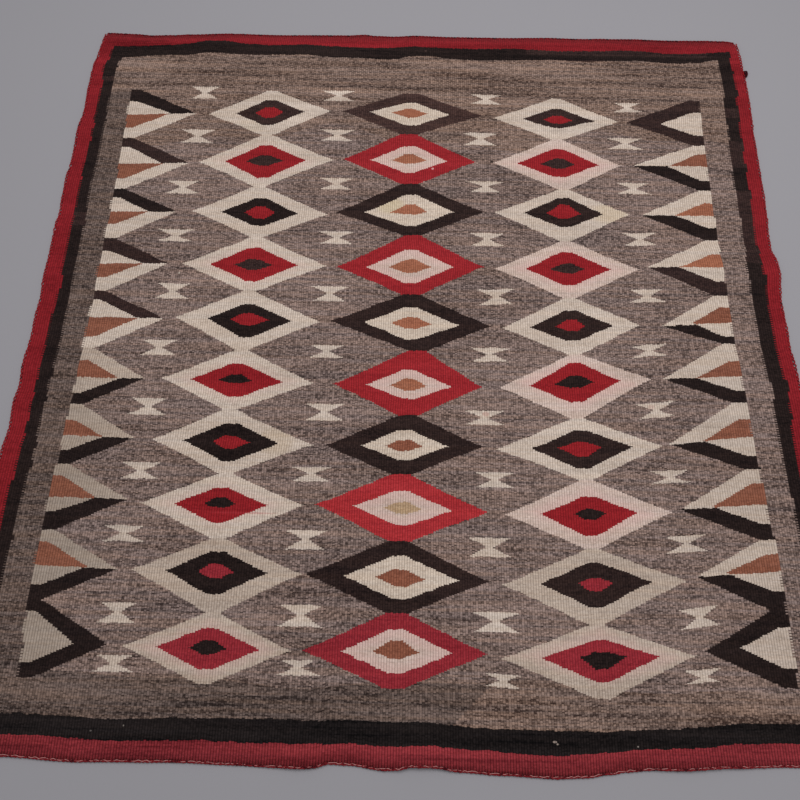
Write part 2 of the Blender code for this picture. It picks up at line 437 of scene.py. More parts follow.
HOURGLASSES = (
    Hourglass(-422, 1235, 27, 25, 17, 15), Hourglass(-424, 1121, 31, 31, 17, 16),
    Hourglass(-438, 994, 28, 31, 15, 15), Hourglass(-438, 880, 33, 32, 15, 12),
    Hourglass(-427, 759, 28, 29, 16, 16), Hourglass(-436, 642, 29, 29, 15, 15),
    Hourglass(-439, 528, 29, 31, 15, 16), Hourglass(-435, 411, 32, 30, 15, 14),
    Hourglass(-446, 304, 31, 32, 13, 13), Hourglass(-437, 179, 26, 29, 15, 16),
    Hourglass(-431, 103, 25, 29, 12, 12),
    Hourglass(-144, 1235, 33, 30, 13, 14), Hourglass(-142, 1130, 34, 30, 14, 14),
    Hourglass(-138, 1009, 31, 29, 14, 13), Hourglass(-131, 883, 33, 30, 14, 14),
    Hourglass(-137, 760, 32, 27, 15, 16), Hourglass(-136, 641, 28, 29, 12, 13),
    Hourglass(-133, 524, 32, 31, 15, 16), Hourglass(-149, 411, 30, 30, 12, 13),
    Hourglass(-151, 300, 32, 30, 15, 16), Hourglass(-151, 180, 31, 33, 16, 17),
    Hourglass(-150, 102, 23, 32, 11, 11),
    Hourglass(162, 1233, 30, 29, 12, 13), Hourglass(148, 1128, 33, 31, 15, 16),
    Hourglass(156, 1010, 36, 28, 12, 14), Hourglass(157, 886, 31, 30, 14, 15),
    Hourglass(170, 761, 34, 28, 15, 17, 3), Hourglass(156, 641, 34, 31, 13, 14),
    Hourglass(144, 519, 34, 31, 13, 13), Hourglass(158, 407, 30, 30, 13, 13),
    Hourglass(147, 294, 34, 33, 15, 16), Hourglass(154, 177, 35, 33, 14, 16),
    Hourglass(162, 90, 25, 24, 9, 10, -4),
    Hourglass(454, 1218, 24, 27, 12, 12, 2), Hourglass(441, 1123, 33, 34, 14, 14),
    Hourglass(447, 1012, 29, 32, 13, 13), Hourglass(448, 893, 31, 29, 14, 14, 4),
    Hourglass(449, 768, 28, 32, 14, 13, 3), Hourglass(442, 655, 31, 31, 12, 11, 6),
    Hourglass(442, 540, 33, 29, 14, 14, 8), Hourglass(453, 418, 31, 31, 12, 10, 6),
    Hourglass(466, 306, 31, 32, 13, 14, 6), Hourglass(473, 190, 29, 28, 15, 15, 8),
    Hourglass(467, 101, 27, 23, 11, 8, 6),
)
# The base lines of the half diamonds, then the inner lines of the red and dark borders.
LEFT_BASE = (Stop(80, -573), Stop(120, -574), Stop(160, -580), Stop(300, -582), Stop(400, -580),
             Stop(520, -577), Stop(620, -573), Stop(1080, -573), Stop(1140, -576), Stop(1250, -578))
RIGHT_BASE = (Stop(80, 609), Stop(250, 611), Stop(350, 607), Stop(450, 603), Stop(560, 600),
              Stop(700, 597), Stop(900, 596), Stop(1000, 598), Stop(1130, 601), Stop(1250, 606))
LEFT_RED = (
    Stop(-40, -650), Stop(380, -648), Stop(400, -645), Stop(440, -643), Stop(560, -643),
    Stop(620, -640), Stop(700, -641), Stop(720, -637), Stop(760, -637), Stop(800, -639),
    Stop(1000, -641), Stop(1020, -643), Stop(1050, -640), Stop(1260, -641), Stop(1275, -645),
    Stop(1310, -645), Stop(1325, -638), Stop(1360, -635),
)
RIGHT_RED = (
    Stop(-40, 676), Stop(440, 671), Stop(500, 672), Stop(540, 675), Stop(560, 677),
    Stop(600, 677), Stop(640, 672), Stop(740, 671), Stop(780, 673), Stop(800, 675),
    Stop(820, 675), Stop(850, 672), Stop(880, 670), Stop(900, 670), Stop(950, 673),
    Stop(1000, 675), Stop(1100, 676), Stop(1130, 678), Stop(1200, 682), Stop(1250, 684),
    Stop(1258, 689), Stop(1300, 688), Stop(1340, 684), Stop(1380, 684),
)
FAR_RED = (
    Stop(-640, 1361), Stop(-600, 1361), Stop(-560, 1363), Stop(-500, 1368), Stop(-480, 1372),
    Stop(-460, 1376), Stop(-440, 1381), Stop(-400, 1381), Stop(-380, 1379), Stop(-360, 1375),
    Stop(-300, 1372), Stop(-220, 1376), Stop(-180, 1373), Stop(-140, 1371), Stop(-100, 1370),
    Stop(-40, 1371), Stop(0, 1376), Stop(40, 1375), Stop(80, 1373), Stop(120, 1372),
    Stop(220, 1375), Stop(280, 1372), Stop(320, 1370), Stop(400, 1373), Stop(460, 1376),
    Stop(500, 1375), Stop(540, 1370), Stop(560, 1369), Stop(600, 1370), Stop(640, 1373),
    Stop(690, 1375),
)
NEAR_RED = (
    Stop(-690, 1), Stop(-560, 1), Stop(-500, -1), Stop(-460, -4), Stop(-420, -5),
    Stop(-360, -4), Stop(-280, -2), Stop(-220, -4), Stop(-110, -4), Stop(-70, -2),
    Stop(-20, -5), Stop(0, -5), Stop(60, -3), Stop(100, -7), Stop(140, -8),
    Stop(200, -12), Stop(240, -13), Stop(300, -8), Stop(340, -4), Stop(380, -1),
    Stop(460, 3), Stop(500, 8), Stop(560, 10), Stop(700, 9),
)
LEFT_BLACK = (
    Stop(0, -630), Stop(260, -627), Stop(340, -625), Stop(400, -622), Stop(440, -620),
    Stop(560, -619), Stop(600, -617), Stop(650, -614), Stop(760, -615), Stop(880, -616),
    Stop(1000, -619), Stop(1050, -616), Stop(1200, -618), Stop(1260, -619), Stop(1315, -617),
    Stop(1328, -611),
)
RIGHT_BLACK = (
    Stop(0, 656), Stop(340, 652), Stop(400, 649), Stop(500, 647), Stop(540, 647),
    Stop(580, 649), Stop(640, 644), Stop(700, 643), Stop(850, 644), Stop(900, 646),
    Stop(1000, 648), Stop(1040, 647), Stop(1100, 650), Stop(1150, 653), Stop(1240, 655),
    Stop(1260, 660), Stop(1320, 660), Stop(1350, 656),
)
FAR_BLACK = (
    Stop(-620, 1328), Stop(-600, 1329), Stop(-560, 1335), Stop(-500, 1339), Stop(-460, 1341),
    Stop(-440, 1346), Stop(-420, 1348), Stop(-400, 1347), Stop(-380, 1344), Stop(-340, 1343),
    Stop(-260, 1345), Stop(-220, 1347), Stop(-180, 1341), Stop(-100, 1340), Stop(-40, 1337),
    Stop(-20, 1340), Stop(0, 1347), Stop(40, 1350), Stop(80, 1343), Stop(160, 1340),
    Stop(240, 1342), Stop(300, 1346), Stop(380, 1341), Stop(420, 1345), Stop(480, 1348),
    Stop(540, 1342), Stop(580, 1342), Stop(620, 1345), Stop(640, 1350), Stop(660, 1353),
)
NEAR_BLACK = (
    Stop(-630, 29), Stop(-560, 30), Stop(-500, 28), Stop(-440, 25), Stop(-400, 25),
    Stop(-340, 28), Stop(-180, 30), Stop(-130, 28), Stop(-60, 30), Stop(0, 28),
    Stop(40, 30), Stop(80, 26), Stop(120, 23), Stop(240, 21), Stop(320, 22),
    Stop(400, 27), Stop(440, 29), Stop(480, 33), Stop(520, 37), Stop(660, 38),
)


class Zone(NamedTuple):
    """A stretch of the chart."""

    left: float
    right: float
    near: float
    far: float


BROWN_ZONES = (
    Zone(-660, -600, 1262, 1276),
    Zone(-660, -600, 900, 930),
    Zone(250, 640, 1360, 1380),
    Zone(420, 560, 1366, 1380),
    Zone(300, 420, 1336, 1347),
    Zone(630, 700, 1068, 1135),
    Zone(630, 700, 846, 1010),
    Zone(630, 700, 1196, 1222),
)


class Ring(NamedTuple):
    """One outline of a diamond: its tips, the two points where it is highest and lowest."""

    x: float
    y: float
    left: float
    right: float
    slope: float
    top_x: float
    top: float
    bottom_x: float
    bottom: float
    flat: float


@dataclass
class Chart:
    """The weaver's chart: which yarn covers each rib at each pair of picks.

    Attributes:
        plan: the cloth's outline.
        ribs: warps across the rug.
        picks: pairs of picks along the rug.
        row_picks: pairs of picks to a row of the mesh.
        middle_x: the chart's place of the cloth's middle, across.
        middle_y: the chart's place of the cloth's middle, along.
        changes: most changes of yarn that a rib may have in one row of the mesh.
        unevenness: how far the weaver's steps stray from a straight slope.
        half_rib: half a rib, which centres a toothed join on its line.
        tip_room: how far past a tip its shape is woven, to reach the rib that it ends on.
        half_neck: half the width of the necks of the two outer columns.
        middle_half_neck: half the width of the necks of the middle column.
        overlap: how far a diamond runs past its neck into the next one.
        ring_flat: half the width of the flat top and foot of a diamond's ring.
        eye_flat: half the width of the flat top and foot of its eye.
        waist: half the width of an hourglass's waist.
        brown_from: the place along the rug beyond which the field is brown.
        near_margin: the place along the rug up to which the near margin of the field is brown.
        strip_until: the place up to which the strip down the field's left side is dark.
        seed: start of the weaver's unevenness.
    """

    plan: ClothPlan
    ribs: int = 328
    picks: int = 1320
    row_picks: int = 20
    middle_x: float = 18.0
    middle_y: float = 684.0
    changes: int = 4
    unevenness: float = 0.45
    half_rib: float = 2.1
    tip_room: float = 2.5
    half_neck: float = 9.0
    middle_half_neck: float = 15.0
    overlap: float = 0.8
    ring_flat: float = 11.0
    eye_flat: float = 9.0
    waist: float = 5.0
    brown_from: float = 1125.0
    near_margin: float = 84.0
    strip_until: float = 1240.0
    seed: int = 11
    x: np.ndarray = field(init=False)
    y: np.ndarray = field(init=False)
    yarns: np.ndarray = field(init=False)
    random: np.random.Generator = field(init=False)

    def __post_init__(self) -> None:
        """Weaves the borders, the half diamonds, the diamonds and the hourglasses in turn."""
        across = (np.arange(self.ribs) + 0.5) / self.ribs
        along = (np.arange(self.picks) + 0.5) / self.picks
        x, y = self.plan.point(across[:, None], along[None, :])
        self.x, self.y = x + self.middle_x, y + self.middle_y
        self.random = np.random.default_rng(self.seed)
        self.yarns = np.full(self.x.shape, int(Yarn.FIELD))
        self.weave_borders()
        for column, (diamonds, necks) in enumerate(DIAMOND_COLUMNS):
            for row, diamond in enumerate(diamonds):
                neck = self.middle_half_neck if column == 1 else self.half_neck
                self.weave_diamond(
                    diamond, necks[row], necks[row + 1], diamond_yarns(column, row), neck
                )
        for row in range(len(LEFT_HALVES)):
            self.weave_half(LEFT_HALVES[row], LEFT_BASE, left_half_yarns(row))
            self.weave_half(RIGHT_HALVES[row], RIGHT_BASE, right_half_yarns(row))
        for hourglass in HOURGLASSES:
            self.weave_hourglass(hourglass)

    def stray(self) -> np.ndarray:
        """One edge's unevenness: a small offset along for each rib."""
        rough = self.random.normal(0, self.unevenness, self.ribs + 2)
        return ((rough[:-2] + 1.4 * rough[1:-1] + rough[2:]) / 2.0)[:, None]

    def line(self, stops: Sequence[Stop], places: np.ndarray) -> np.ndarray:
        """The level of a border line at places along it."""
        return np.interp(places, [stop.place for stop in stops], [stop.level for stop in stops])

    def weave_borders(self) -> None:
        """Weaves the dark border, then the red one around it."""
        y = self.y
        x = self.x - self.half_rib
        black = (x < self.line(LEFT_BLACK, y)) | (x > self.line(RIGHT_BLACK, y))
        black |= (y > self.line(FAR_BLACK, x) + self.stray())
        black |= (y < self.line(NEAR_BLACK, x) + self.stray())
        self.weave_field()
        self.yarns[black] = Yarn.BLACK
        self.yarns[black & (y < 60 + 6 * np.sin(x / 37))] = Yarn.COAL_BLACK
        for zone in BROWN_ZONES:
            within = (self.x > zone.left) & (self.x < zone.right)
            within &= (y + self.stray() > zone.near) & (y + self.stray() < zone.far)
            self.yarns[black & within] = Yarn.BROWN_BLACK
        near = y < self.line(NEAR_RED, x) + self.stray()
        red = (x < self.line(LEFT_RED, y)) | (x > self.line(RIGHT_RED, y))
        red |= y > self.line(FAR_RED, x) + self.stray()
        self.yarns[red] = Yarn.BORDER_RED
        self.yarns[near] = Yarn.NEAR_RED

    def weave_field(self) -> None:
        """Weaves the field in its batches of heathered yarn: brown, grey and darker ones."""
        wander = 16 * np.sin(self.x / 97) + 9 * np.sin(self.x / 41 + 2) + self.stray()
        self.yarns[self.y + 1.4 * wander > self.brown_from] = Yarn.FIELD_BROWN
        self.yarns[self.y < self.near_margin + 0.4 * wander] = Yarn.FIELD_BROWN
        dark = (self.x - self.half_rib < self.line(LEFT_BASE, self.y)) & (self.y < self.strip_until)
        dark |= (self.y < self.near_margin - 2 + 0.4 * wander) & (self.x < 60 + self.y)
        self.yarns[dark] = Yarn.FIELD_DARK

    def inside_ring(self, ring: Ring) -> np.ndarray:
        """Which places of the chart lie inside an outline.

        Args:
            ring: the outline.

        Returns:
            True for each rib and pick inside it.
        """
        tips = ring.y + ring.slope * (self.x - ring.x)
        low_x, high_x = ring.x - ring.left - self.tip_room, ring.x + ring.right + self.tip_room

        def share(peak: float) -> np.ndarray:
            """How far up the slope to a peak each place is, 0 at the tips to 1 at the peak."""
            left = (self.x - low_x) / max(peak - ring.flat - low_x, 1)
            right = (high_x - self.x) / max(high_x - peak - ring.flat, 1)
            return np.clip(np.minimum(left, right), 0, 1) ** 1.06

        upper = tips + (ring.top - ring.y) * share(ring.top_x) + self.stray()
        lower = tips - (ring.y - ring.bottom) * share(ring.bottom_x) + self.stray()
        within = (self.x > low_x) & (self.x < high_x)
        return within & (self.y < upper) & (self.y > lower)

    def weave_diamond(
        self, diamond: Diamond, above: Neck, below: Neck, yarns: tuple[Yarn, Yarn, Yarn],
        neck: float
    ) -> None:
        """Weaves one diamond, from its outer colour to its eye.

        Args:
            diamond: its sizes.
            above: the neck above it.
            below: the neck below it.
            yarns: its outer, ring and eye yarn.
            neck: half the width of its necks.
        """
        d = diamond
        slope = d.rise / (d.left + d.right)
        outer = Ring(d.x, d.y, d.left, d.right, slope, above.x, above.y + self.overlap, below.x,
                     below.y - self.overlap, neck)
        ring = Ring(d.x, d.y, d.ring_left, d.ring_right, slope, d.x, d.y + d.ring_up, d.x,
                    d.y - d.ring_down, self.ring_flat)
        eye = Ring(d.x, d.y, d.eye_left, d.eye_right, slope, d.x, d.y + d.eye_up, d.x,
                   d.y - d.eye_down, self.eye_flat)
        for outline, yarn in zip((outer, ring, eye), yarns):
            self.yarns[self.inside_ring(outline)] = yarn

    def weave_half(
        self, half: HalfDiamond, base: Sequence[Stop], yarns: tuple[Yarn, Yarn, Yarn, Yarn]
    ) -> None:
        """Weaves one half diamond on a side of the field.

        Args:
            half: its sizes.
            base: the line that its base stands on.
            yarns: outer upper, inner upper, inner lower and outer lower yarn.
        """
        side = 1.0 if half.tip_x > half.inner_x else -1.0
        base_x = self.line(base, self.y)
        level = half.tip_y + (half.level - half.tip_y) * np.clip(
            (half.tip_x - self.x) / (half.tip_x - base_x), 0, 1)

        def share(tip: float, flat: float) -> np.ndarray:
            """How far from a tip to the base each place is, 0 at the tip to 1 near the base."""
            tip += side * self.tip_room
            return np.clip(side * (tip - self.x) / (side * (tip - base_x) - flat), 0, 1)

        beyond_base = side * (self.x - self.half_rib - base_x) > 0
        outer, inner = share(half.tip_x, 22), share(half.inner_x, 16)
        upper = half.tip_y + (half.top - half.tip_y) * outer + self.stray()
        lower = half.tip_y + (half.bottom - half.tip_y) * outer + self.stray()
        inner_upper = half.inner_y + (half.inner_top - half.inner_y) * inner + self.stray()
        inner_lower = half.inner_y + (half.inner_bottom - half.inner_y) * inner + self.stray()
        inside = beyond_base & (outer > 0) & (self.y < upper) & (self.y > lower)
        core = inside & (inner > 0) & (self.y < inner_upper) & (self.y > inner_lower)
        above = self.y > level + self.stray()
        for where, yarn in (
            (inside & above, yarns[0]),
            (inside & ~above, yarns[3]),
            (core & above, yarns[1]),
            (core & ~above, yarns[2]),
        ):
            self.yarns[where] = yarn

    def weave_hourglass(self, glass: Hourglass) -> None:
        """Weaves one small cream hourglass."""
        top, bottom = glass.top + self.tip_room, glass.bottom + self.tip_room
        aside = np.abs(self.x - glass.x)
        slope = glass.rise / (glass.top + glass.bottom)
        level = self.y - glass.y - slope * (self.x - glass.x) + self.stray()
        up = np.clip(level / glass.up, 0, 1)
        down = np.clip(-level / glass.down, 0, 1)
        half_width = self.waist + (top - self.waist) * up**1.1 + (bottom - self.waist) * down**1.1
        within = (level < glass.up) & (level > -glass.down) & (aside < half_width)
        self.yarns[within] = Yarn.CREAM

    @property
    def rows(self) -> int:
        """How many rows of the mesh the rug is long."""
        return self.picks // self.row_picks

    def blocks(self) -> np.ndarray:
        """The yarns by rib, row of the mesh and pick of the row."""
        return self.yarns.reshape(self.ribs, self.rows, self.row_picks)

    def row_middles(self) -> tuple[np.ndarray, np.ndarray]:
        """The x and y of each rib at the middle of each row of the mesh."""
        middle = self.row_picks // 2
        return self.x[:, middle :: self.row_picks], self.y[:, middle :: self.row_picks]

    def spans(self) -> tuple[np.ndarray, np.ndarray]:
        """Sums up each rib's yarns in each row of the mesh.

        Returns:
            The picks at which the yarn changes, and the yarns from one change to the next, each
            by rib, row and number of the change.
        """
        blocks = self.blocks()
        never = self.row_picks + 1
        changed = blocks[:, :, 1:] != blocks[:, :, :-1]
        at = np.where(changed, np.arange(1, self.row_picks), never)
        at = np.sort(at, axis=2)[:, :, : self.changes]
        crowded = int((changed.sum(axis=2) > self.changes).sum())
        log.info("chart: %d places have more changes of yarn than a row holds", crowded)
        start = np.arange(self.rows)[None, :, None] * self.row_picks
        looked_up = np.concatenate([np.zeros_like(at[:, :, :1]), at], axis=2)
        looked_up = np.where(looked_up == never, self.row_picks - 1, looked_up)
        yarns = np.take_along_axis(blocks, looked_up, axis=2)
        return np.where(at == never, self.picks + self.row_picks, at + start), yarns

    def joins(self) -> tuple[np.ndarray, np.ndarray]:
        """Where two yarns meet side by side up a whole row, and share a rib in fine teeth.

        Returns:
            The yarn of the next rib, and the share of this rib that it takes, 0 where none
            meets it.
        """
        blocks = self.blocks()
        plain = (blocks == blocks[:, :, :1]).all(axis=2)
        first = blocks[:, :, 0]
        joined, share = first.copy(), np.zeros(first.shape)
        meets = plain[:-1] & plain[1:] & (first[:-1] != first[1:])
        joined[:-1][meets] = first[1:][meets]
        share[:-1][meets] = self.crossing()[:-1][meets]
        return joined, share

    def crossing(self) -> np.ndarray:
        """How much of each rib lies to the right of an upright line that runs up it."""
        x, y = self.row_middles()
        share = np.full(x.shape, 0.5)
        for stops in (LEFT_RED, LEFT_BLACK, LEFT_BASE, RIGHT_BASE, RIGHT_BLACK, RIGHT_RED):
            over = (x + self.half_rib - self.line(stops, y)) / (2 * self.half_rib)
            share = np.where((over > 0) & (over < 1), over, share)
        return share

    def red_rings(self) -> tuple[np.ndarray, np.ndarray]:
        """For each place, the red outline nearby that loose dye has run from.

        Returns:
            Its middle and half width in millimetres of the chart, and its half height, by rib
            and row. The half height is 0 where no red outline is near.
        """
        x, y = self.row_middles()
        place = np.zeros((*x.shape, 3))
        height = np.zeros(x.shape)
        for diamonds, _ in DIAMOND_COLUMNS:
            for d in diamonds[1::2]:
                near = (np.abs(x - d.x) < 150) & (np.abs(y - d.y) < 60)
                place[near] = (d.x, d.y, (d.ring_left + d.ring_right) / 2)
                height[near] = (d.ring_up + d.ring_down) / 2
        return place, height


DIAMOND_COLUMNS = (
    (LEFT_DIAMONDS, LEFT_NECKS),
    (MIDDLE_DIAMONDS, MIDDLE_NECKS),
    (RIGHT_DIAMONDS, RIGHT_NECKS),
)


def diamond_yarns(column: int, row: int) -> tuple[Yarn, Yarn, Yarn]:
    """The outer, ring and eye yarn of a diamond.

    Args:
        column: 0 for the left column to 2 for the right one.
        row: 0 for the far row to 9 for the near one.

    Returns:
        The three yarns.
    """
    odd = row % 2 == 1
    if column == 1:
        outer = Yarn.SOFT_BLACK if row else Yarn.FADED_BLACK
        if odd:
            outer = Yarn.CLEAR_RED if row < 7 else Yarn.BRIGHT_RED if row == 7 else Yarn.ROSE_RED
        eye = Yarn.TAN if row == 7 else Yarn.RUST if row < 6 else Yarn.DARK_RUST
        return outer, Yarn.PINK_CREAM if odd else Yarn.WARM_CREAM, eye
    red = Yarn.RING_RED if row < 8 else Yarn.ROSE_RED
    if odd:
        cream = Yarn.GREY_CREAM if row == 9 else Yarn.PINK_CREAM if column else Yarn.CREAM
        return cream, red, Yarn.BROWN_BLACK if row < 4 else Yarn.BLACK
    cream = Yarn.CREAM if row < 8 else Yarn.GREY_CREAM
    dark = Yarn.BROWN_BLACK if row == 0 else Yarn.SOFT_BLACK if column else Yarn.BLACK
    return cream, dark, red


def left_half_yarns(row: int) -> tuple[Yarn, Yarn, Yarn, Yarn]:
    """The yarns of a half diamond on the left: outer upper, inner upper, inner lower, outer lower."""
    cream = Yarn.CREAM if row < 5 else Yarn.GREY_CREAM
    black = Yarn.BROWN_BLACK if row in (1, 3, 4) else Yarn.BLACK
    if row < 5:
        return black, cream, Yarn.MID_RUST, cream
    if row < 9:
        return cream, Yarn.MID_RUST, cream, black
    return black, cream, cream, black


def right_half_yarns(row: int) -> tuple[Yarn, Yarn, Yarn, Yarn]:
    """The yarns of a half diamond on the right, in the same order."""
    dark = Yarn.BROWN_BLACK if row in (0, 3) else Yarn.BLACK
    if row in (0, 9):
        return dark, Yarn.CREAM, Yarn.CREAM, dark
    return Yarn.CREAM, Yarn.RUST if row in (2, 3) else Yarn.MID_RUST, Yarn.CREAM, dark


@dataclass
class Bench:
    """Places nodes in one tree and joins them, so that a material reads as a recipe."""

    tree: bpy.types.NodeTree

    def put(self, kind: str, settings: dict | None = None, **inputs: object) -> bpy.types.Node:
        """Places one node.

        Args:
            kind: the node's type, without its prefix.
            settings: the node's own settings.
            inputs: its inputs by name, with _ for a space, each a value or a socket to join.

        Returns:
            The node.
        """
        node = self.tree.nodes.new("ShaderNode" + kind)
        for name, value in (settings or {}).items():
            setattr(node, name, value)
        for name, value in inputs.items():
            self.feed(node.inputs[name.replace("_", " ")], value)
        return node

    def feed(self, socket: Socket, value: object) -> None:
        """Joins a socket to an input, or sets the input's own value."""
        if isinstance(value, bpy.types.NodeSocket):
            self.tree.links.new(value, socket)
        else:
            socket.default_value = value

    def sum(self, operation: str, *values: object, clamp: bool = False) -> Socket:
        """A Math node's result."""
        node = self.put("Math", {"operation": operation, "use_clamp": clamp})
        for socket, value in zip(node.inputs, values):
            self.feed(socket, value)
        return node.outputs[0]

    def blend(self, share: object, first: object, second: object, how: str = "MIX") -> Socket:
        """A colour between two others."""
        node = self.put("Mix", {"data_type": "RGBA", "blend_type": how, "clamp_factor": True})
        for name, value in (("Factor", share), ("A", first), ("B", second)):
            sockets = [s for s in node.inputs if s.name == name and s.enabled]
            self.feed(sockets[0], value)
        return next(s for s in node.outputs if s.enabled)

    def ease(self, value: object, low: float, high: float) -> Socket:
        """0 below low to 1 above high, smoothly. Low may be above high."""
        node = self.put("MapRange", {"interpolation_type": "SMOOTHSTEP"}, Value=value,
                        From_Min=low, From_Max=high)
        return node.outputs["Result"]

    def parts(self, vector: Socket) -> tuple[Socket, Socket, Socket]:
        """The three numbers of a vector."""
        node = self.put("SeparateXYZ", Vector=vector)
        return node.outputs["X"], node.outputs["Y"], node.outputs["Z"]

    def marks(self, name: str) -> tuple[Socket, Socket, Socket]:
        """One of the mesh's attributes, as three numbers."""
        node = self.put("Attribute", {"attribute_name": name, "attribute_type": "GEOMETRY"})
        return self.parts(node.outputs["Vector"])

    def vector(self, x: object = 0.0, y: object = 0.0, z: object = 0.0) -> Socket:
        """A vector from three numbers."""
        return self.put("CombineXYZ", X=x, Y=y, Z=z).outputs["Vector"]

    def noise(
        self, vector: object, scale: object, detail: float = 2.0, rough: float = 0.5
    ) -> Socket:
        """Noise from 0 to 1 over a vector."""
        node = self.put("TexNoise", {"noise_dimensions": "3D"}, Vector=vector, Scale=scale,
                        Detail=detail, Roughness=rough)
        return node.outputs["Fac"]

    def chance(self, x: object, y: object) -> Socket:
        """An even random number for each pair of numbers."""
        node = self.put("TexWhiteNoise", {"noise_dimensions": "2D"}, Vector=self.vector(x, y))
        return node.outputs["Value"]

    def use(self, group: bpy.types.NodeTree, **inputs: object) -> bpy.types.Node:
        """Places a node group."""
        return self.put("Group", {"node_tree": group}, **inputs)


def new_group(
    name: str, inputs: dict[str, str], outputs: dict[str, str]
) -> tuple[Bench, bpy.types.Node, bpy.types.Node]:
    """Starts a shader node group.

    Args:
        name: its name.
        inputs: each input's name and socket type.
        outputs: each output's name and socket type.

    Returns:
        The bench to build it on, and its input and output nodes.
    """
    tree = bpy.data.node_groups.new(name, "ShaderNodeTree")
    for in_out, sockets in (("INPUT", inputs), ("OUTPUT", outputs)):
        for socket, kind in sockets.items():
            tree.interface.new_socket(name=socket, in_out=in_out, socket_type="NodeSocket" + kind)
    return Bench(tree), tree.nodes.new("NodeGroupInput"), tree.nodes.new("NodeGroupOutput")


def new_material(
    name: str, roughness: float = 0.94, specular: float = 0.06
) -> tuple[bpy.types.Material, Bench, bpy.types.Node]:
    """Starts a matte material.

    Args:
        name: its name.
        roughness: how rough it is.
        specular: how much its surface glints.

    Returns:
        The material, the bench to build it on and its shader.
    """
    made = bpy.data.materials.new(name)
    made.use_nodes = True
    shader = made.node_tree.nodes["Principled BSDF"]
    shader.inputs["Roughness"].default_value = roughness
    shader.inputs["Specular IOR Level"].default_value = specular
    return made, Bench(made.node_tree), shader


@cache
def woven_spans_group() -> bpy.types.NodeTree:
    """Builds the group that reads the chart.

    Returns:
        A group that takes the pick, the picks at which a rib's yarn changes and the yarns
        between, and puts out the number of the yarn at that pick.
    """
    numbers = {"Pick": "Float"}
    numbers.update({f"Change {n}": "Float" for n in range(1, 5)})
    numbers.update({f"Yarn {n}": "Float" for n in range(5)})
    bench, given, out = new_group("Woven spans", numbers, {"Yarn": "Float"})
    yarn = given.outputs["Yarn 0"]
    for n in range(1, 5):
        past = bench.sum("GREATER_THAN", given.outputs["Pick"], given.outputs[f"Change {n}"])
        step = bench.sum("SUBTRACT", given.outputs[f"Yarn {n}"], yarn)
        yarn = bench.sum("MULTIPLY_ADD", past, step, yarn)
    bench.feed(out.inputs["Yarn"], yarn)
    return bench.tree


@cache
def wool_fibre_group() -> bpy.types.NodeTree:
    """Builds the group of fine wool fibres, which every yarn has.

    Returns:
        A group that takes a place and a scale, and puts out a tone about 0.5 and a height.
    """
    bench, given, out = new_group(
        "Wool fibre", {"Place": "Vector", "Scale": "Float"}, {"Tone": "Float", "Height": "Float"}
    )
    place, scale = given.outputs["Place"], given.outputs["Scale"]
    fine = bench.noise(place, scale, 3.0, 0.6)
    coarse = bench.noise(place, bench.sum("MULTIPLY", scale, 0.23), 1.0, 0.5)
    tone = bench.sum("MULTIPLY_ADD", coarse, 0.5, bench.sum("MULTIPLY", fine, 0.5))
    bench.feed(out.inputs["Tone"], tone)
    bench.feed(out.inputs["Height"], fine)
    return bench.tree


class StainOrShade(NamedTuple):
    """A mark on the cloth, or a broad patch of painted shade: its place and reach on the chart, its
    colour and its strength.
    """

    x: float
    y: float
    across: float
    along: float
    colour: Colour
    strength: float
    pale_only: bool = False


STAINS_AND_SHADE = (
    StainOrShade(146, 526, 7, 5, (206, 138, 126), 0.6, True),
    StainOrShade(434, 545, 7, 5, (208, 152, 140), 0.4, True),
    StainOrShade(-30, 960, 32, 20, (206, 186, 132), 0.42, True),
    StainOrShade(396, 950, 40, 26, (212, 186, 132), 0.45, True),
    StainOrShade(-214, 468, 34, 26, (190, 160, 112), 0.4, True),
    StainOrShade(-318, 1150, 34, 20, (210, 190, 152), 0.25, True),
    StainOrShade(308, 1152, 22, 10, (150, 132, 120), 0.35, True),
    StainOrShade(52, 1051, 2.6, 2.6, (228, 178, 176), 0.9),
    StainOrShade(236, 6, 3.4, 1.8, (178, 160, 150), 0.8),
    StainOrShade(240, 3, 1.8, 1.4, (186, 170, 158), 0.8),
    StainOrShade(358, 2, 1.4, 1.2, (190, 178, 168), 0.8),
    StainOrShade(-449, 8, 1.6, 1.4, (130, 122, 118), 0.8),
    StainOrShade(-402, 16, 1.3, 1.5, (150, 140, 132), 0.7),
    StainOrShade(-420, 798, 2.0, 2.4, (196, 184, 170), 0.8),
    StainOrShade(-570, 703, 7.0, 1.2, (176, 162, 148), 0.6),
    StainOrShade(170, 1071, 4.0, 3.5, (28, 22, 22), 0.9),
    StainOrShade(183, 1060, 4.5, 2.2, (34, 27, 27), 0.85),
    StainOrShade(36, 1364, 2.5, 2.0, (92, 72, 66), 0.8),
    StainOrShade(-260, 342, 60, 2.0, (176, 58, 66), 0.4),
    # Painted shade, partly soiling too: a broad darkening of the pale yarns towards the near-left
    # corner.
    StainOrShade(-610, 270, 175, 330, (112, 100, 91), 0.5, True),
    StainOrShade(575, 330, 130, 380, (134, 116, 104), 0.38, True),
)


def corner_points(mesh: bpy.types.Mesh) -> np.ndarray:
    """The number of the point at each corner of each face."""
    corners = np.zeros(len(mesh.loops), dtype=np.int32)
    mesh.loops.foreach_get("vertex_index", corners)
    return corners


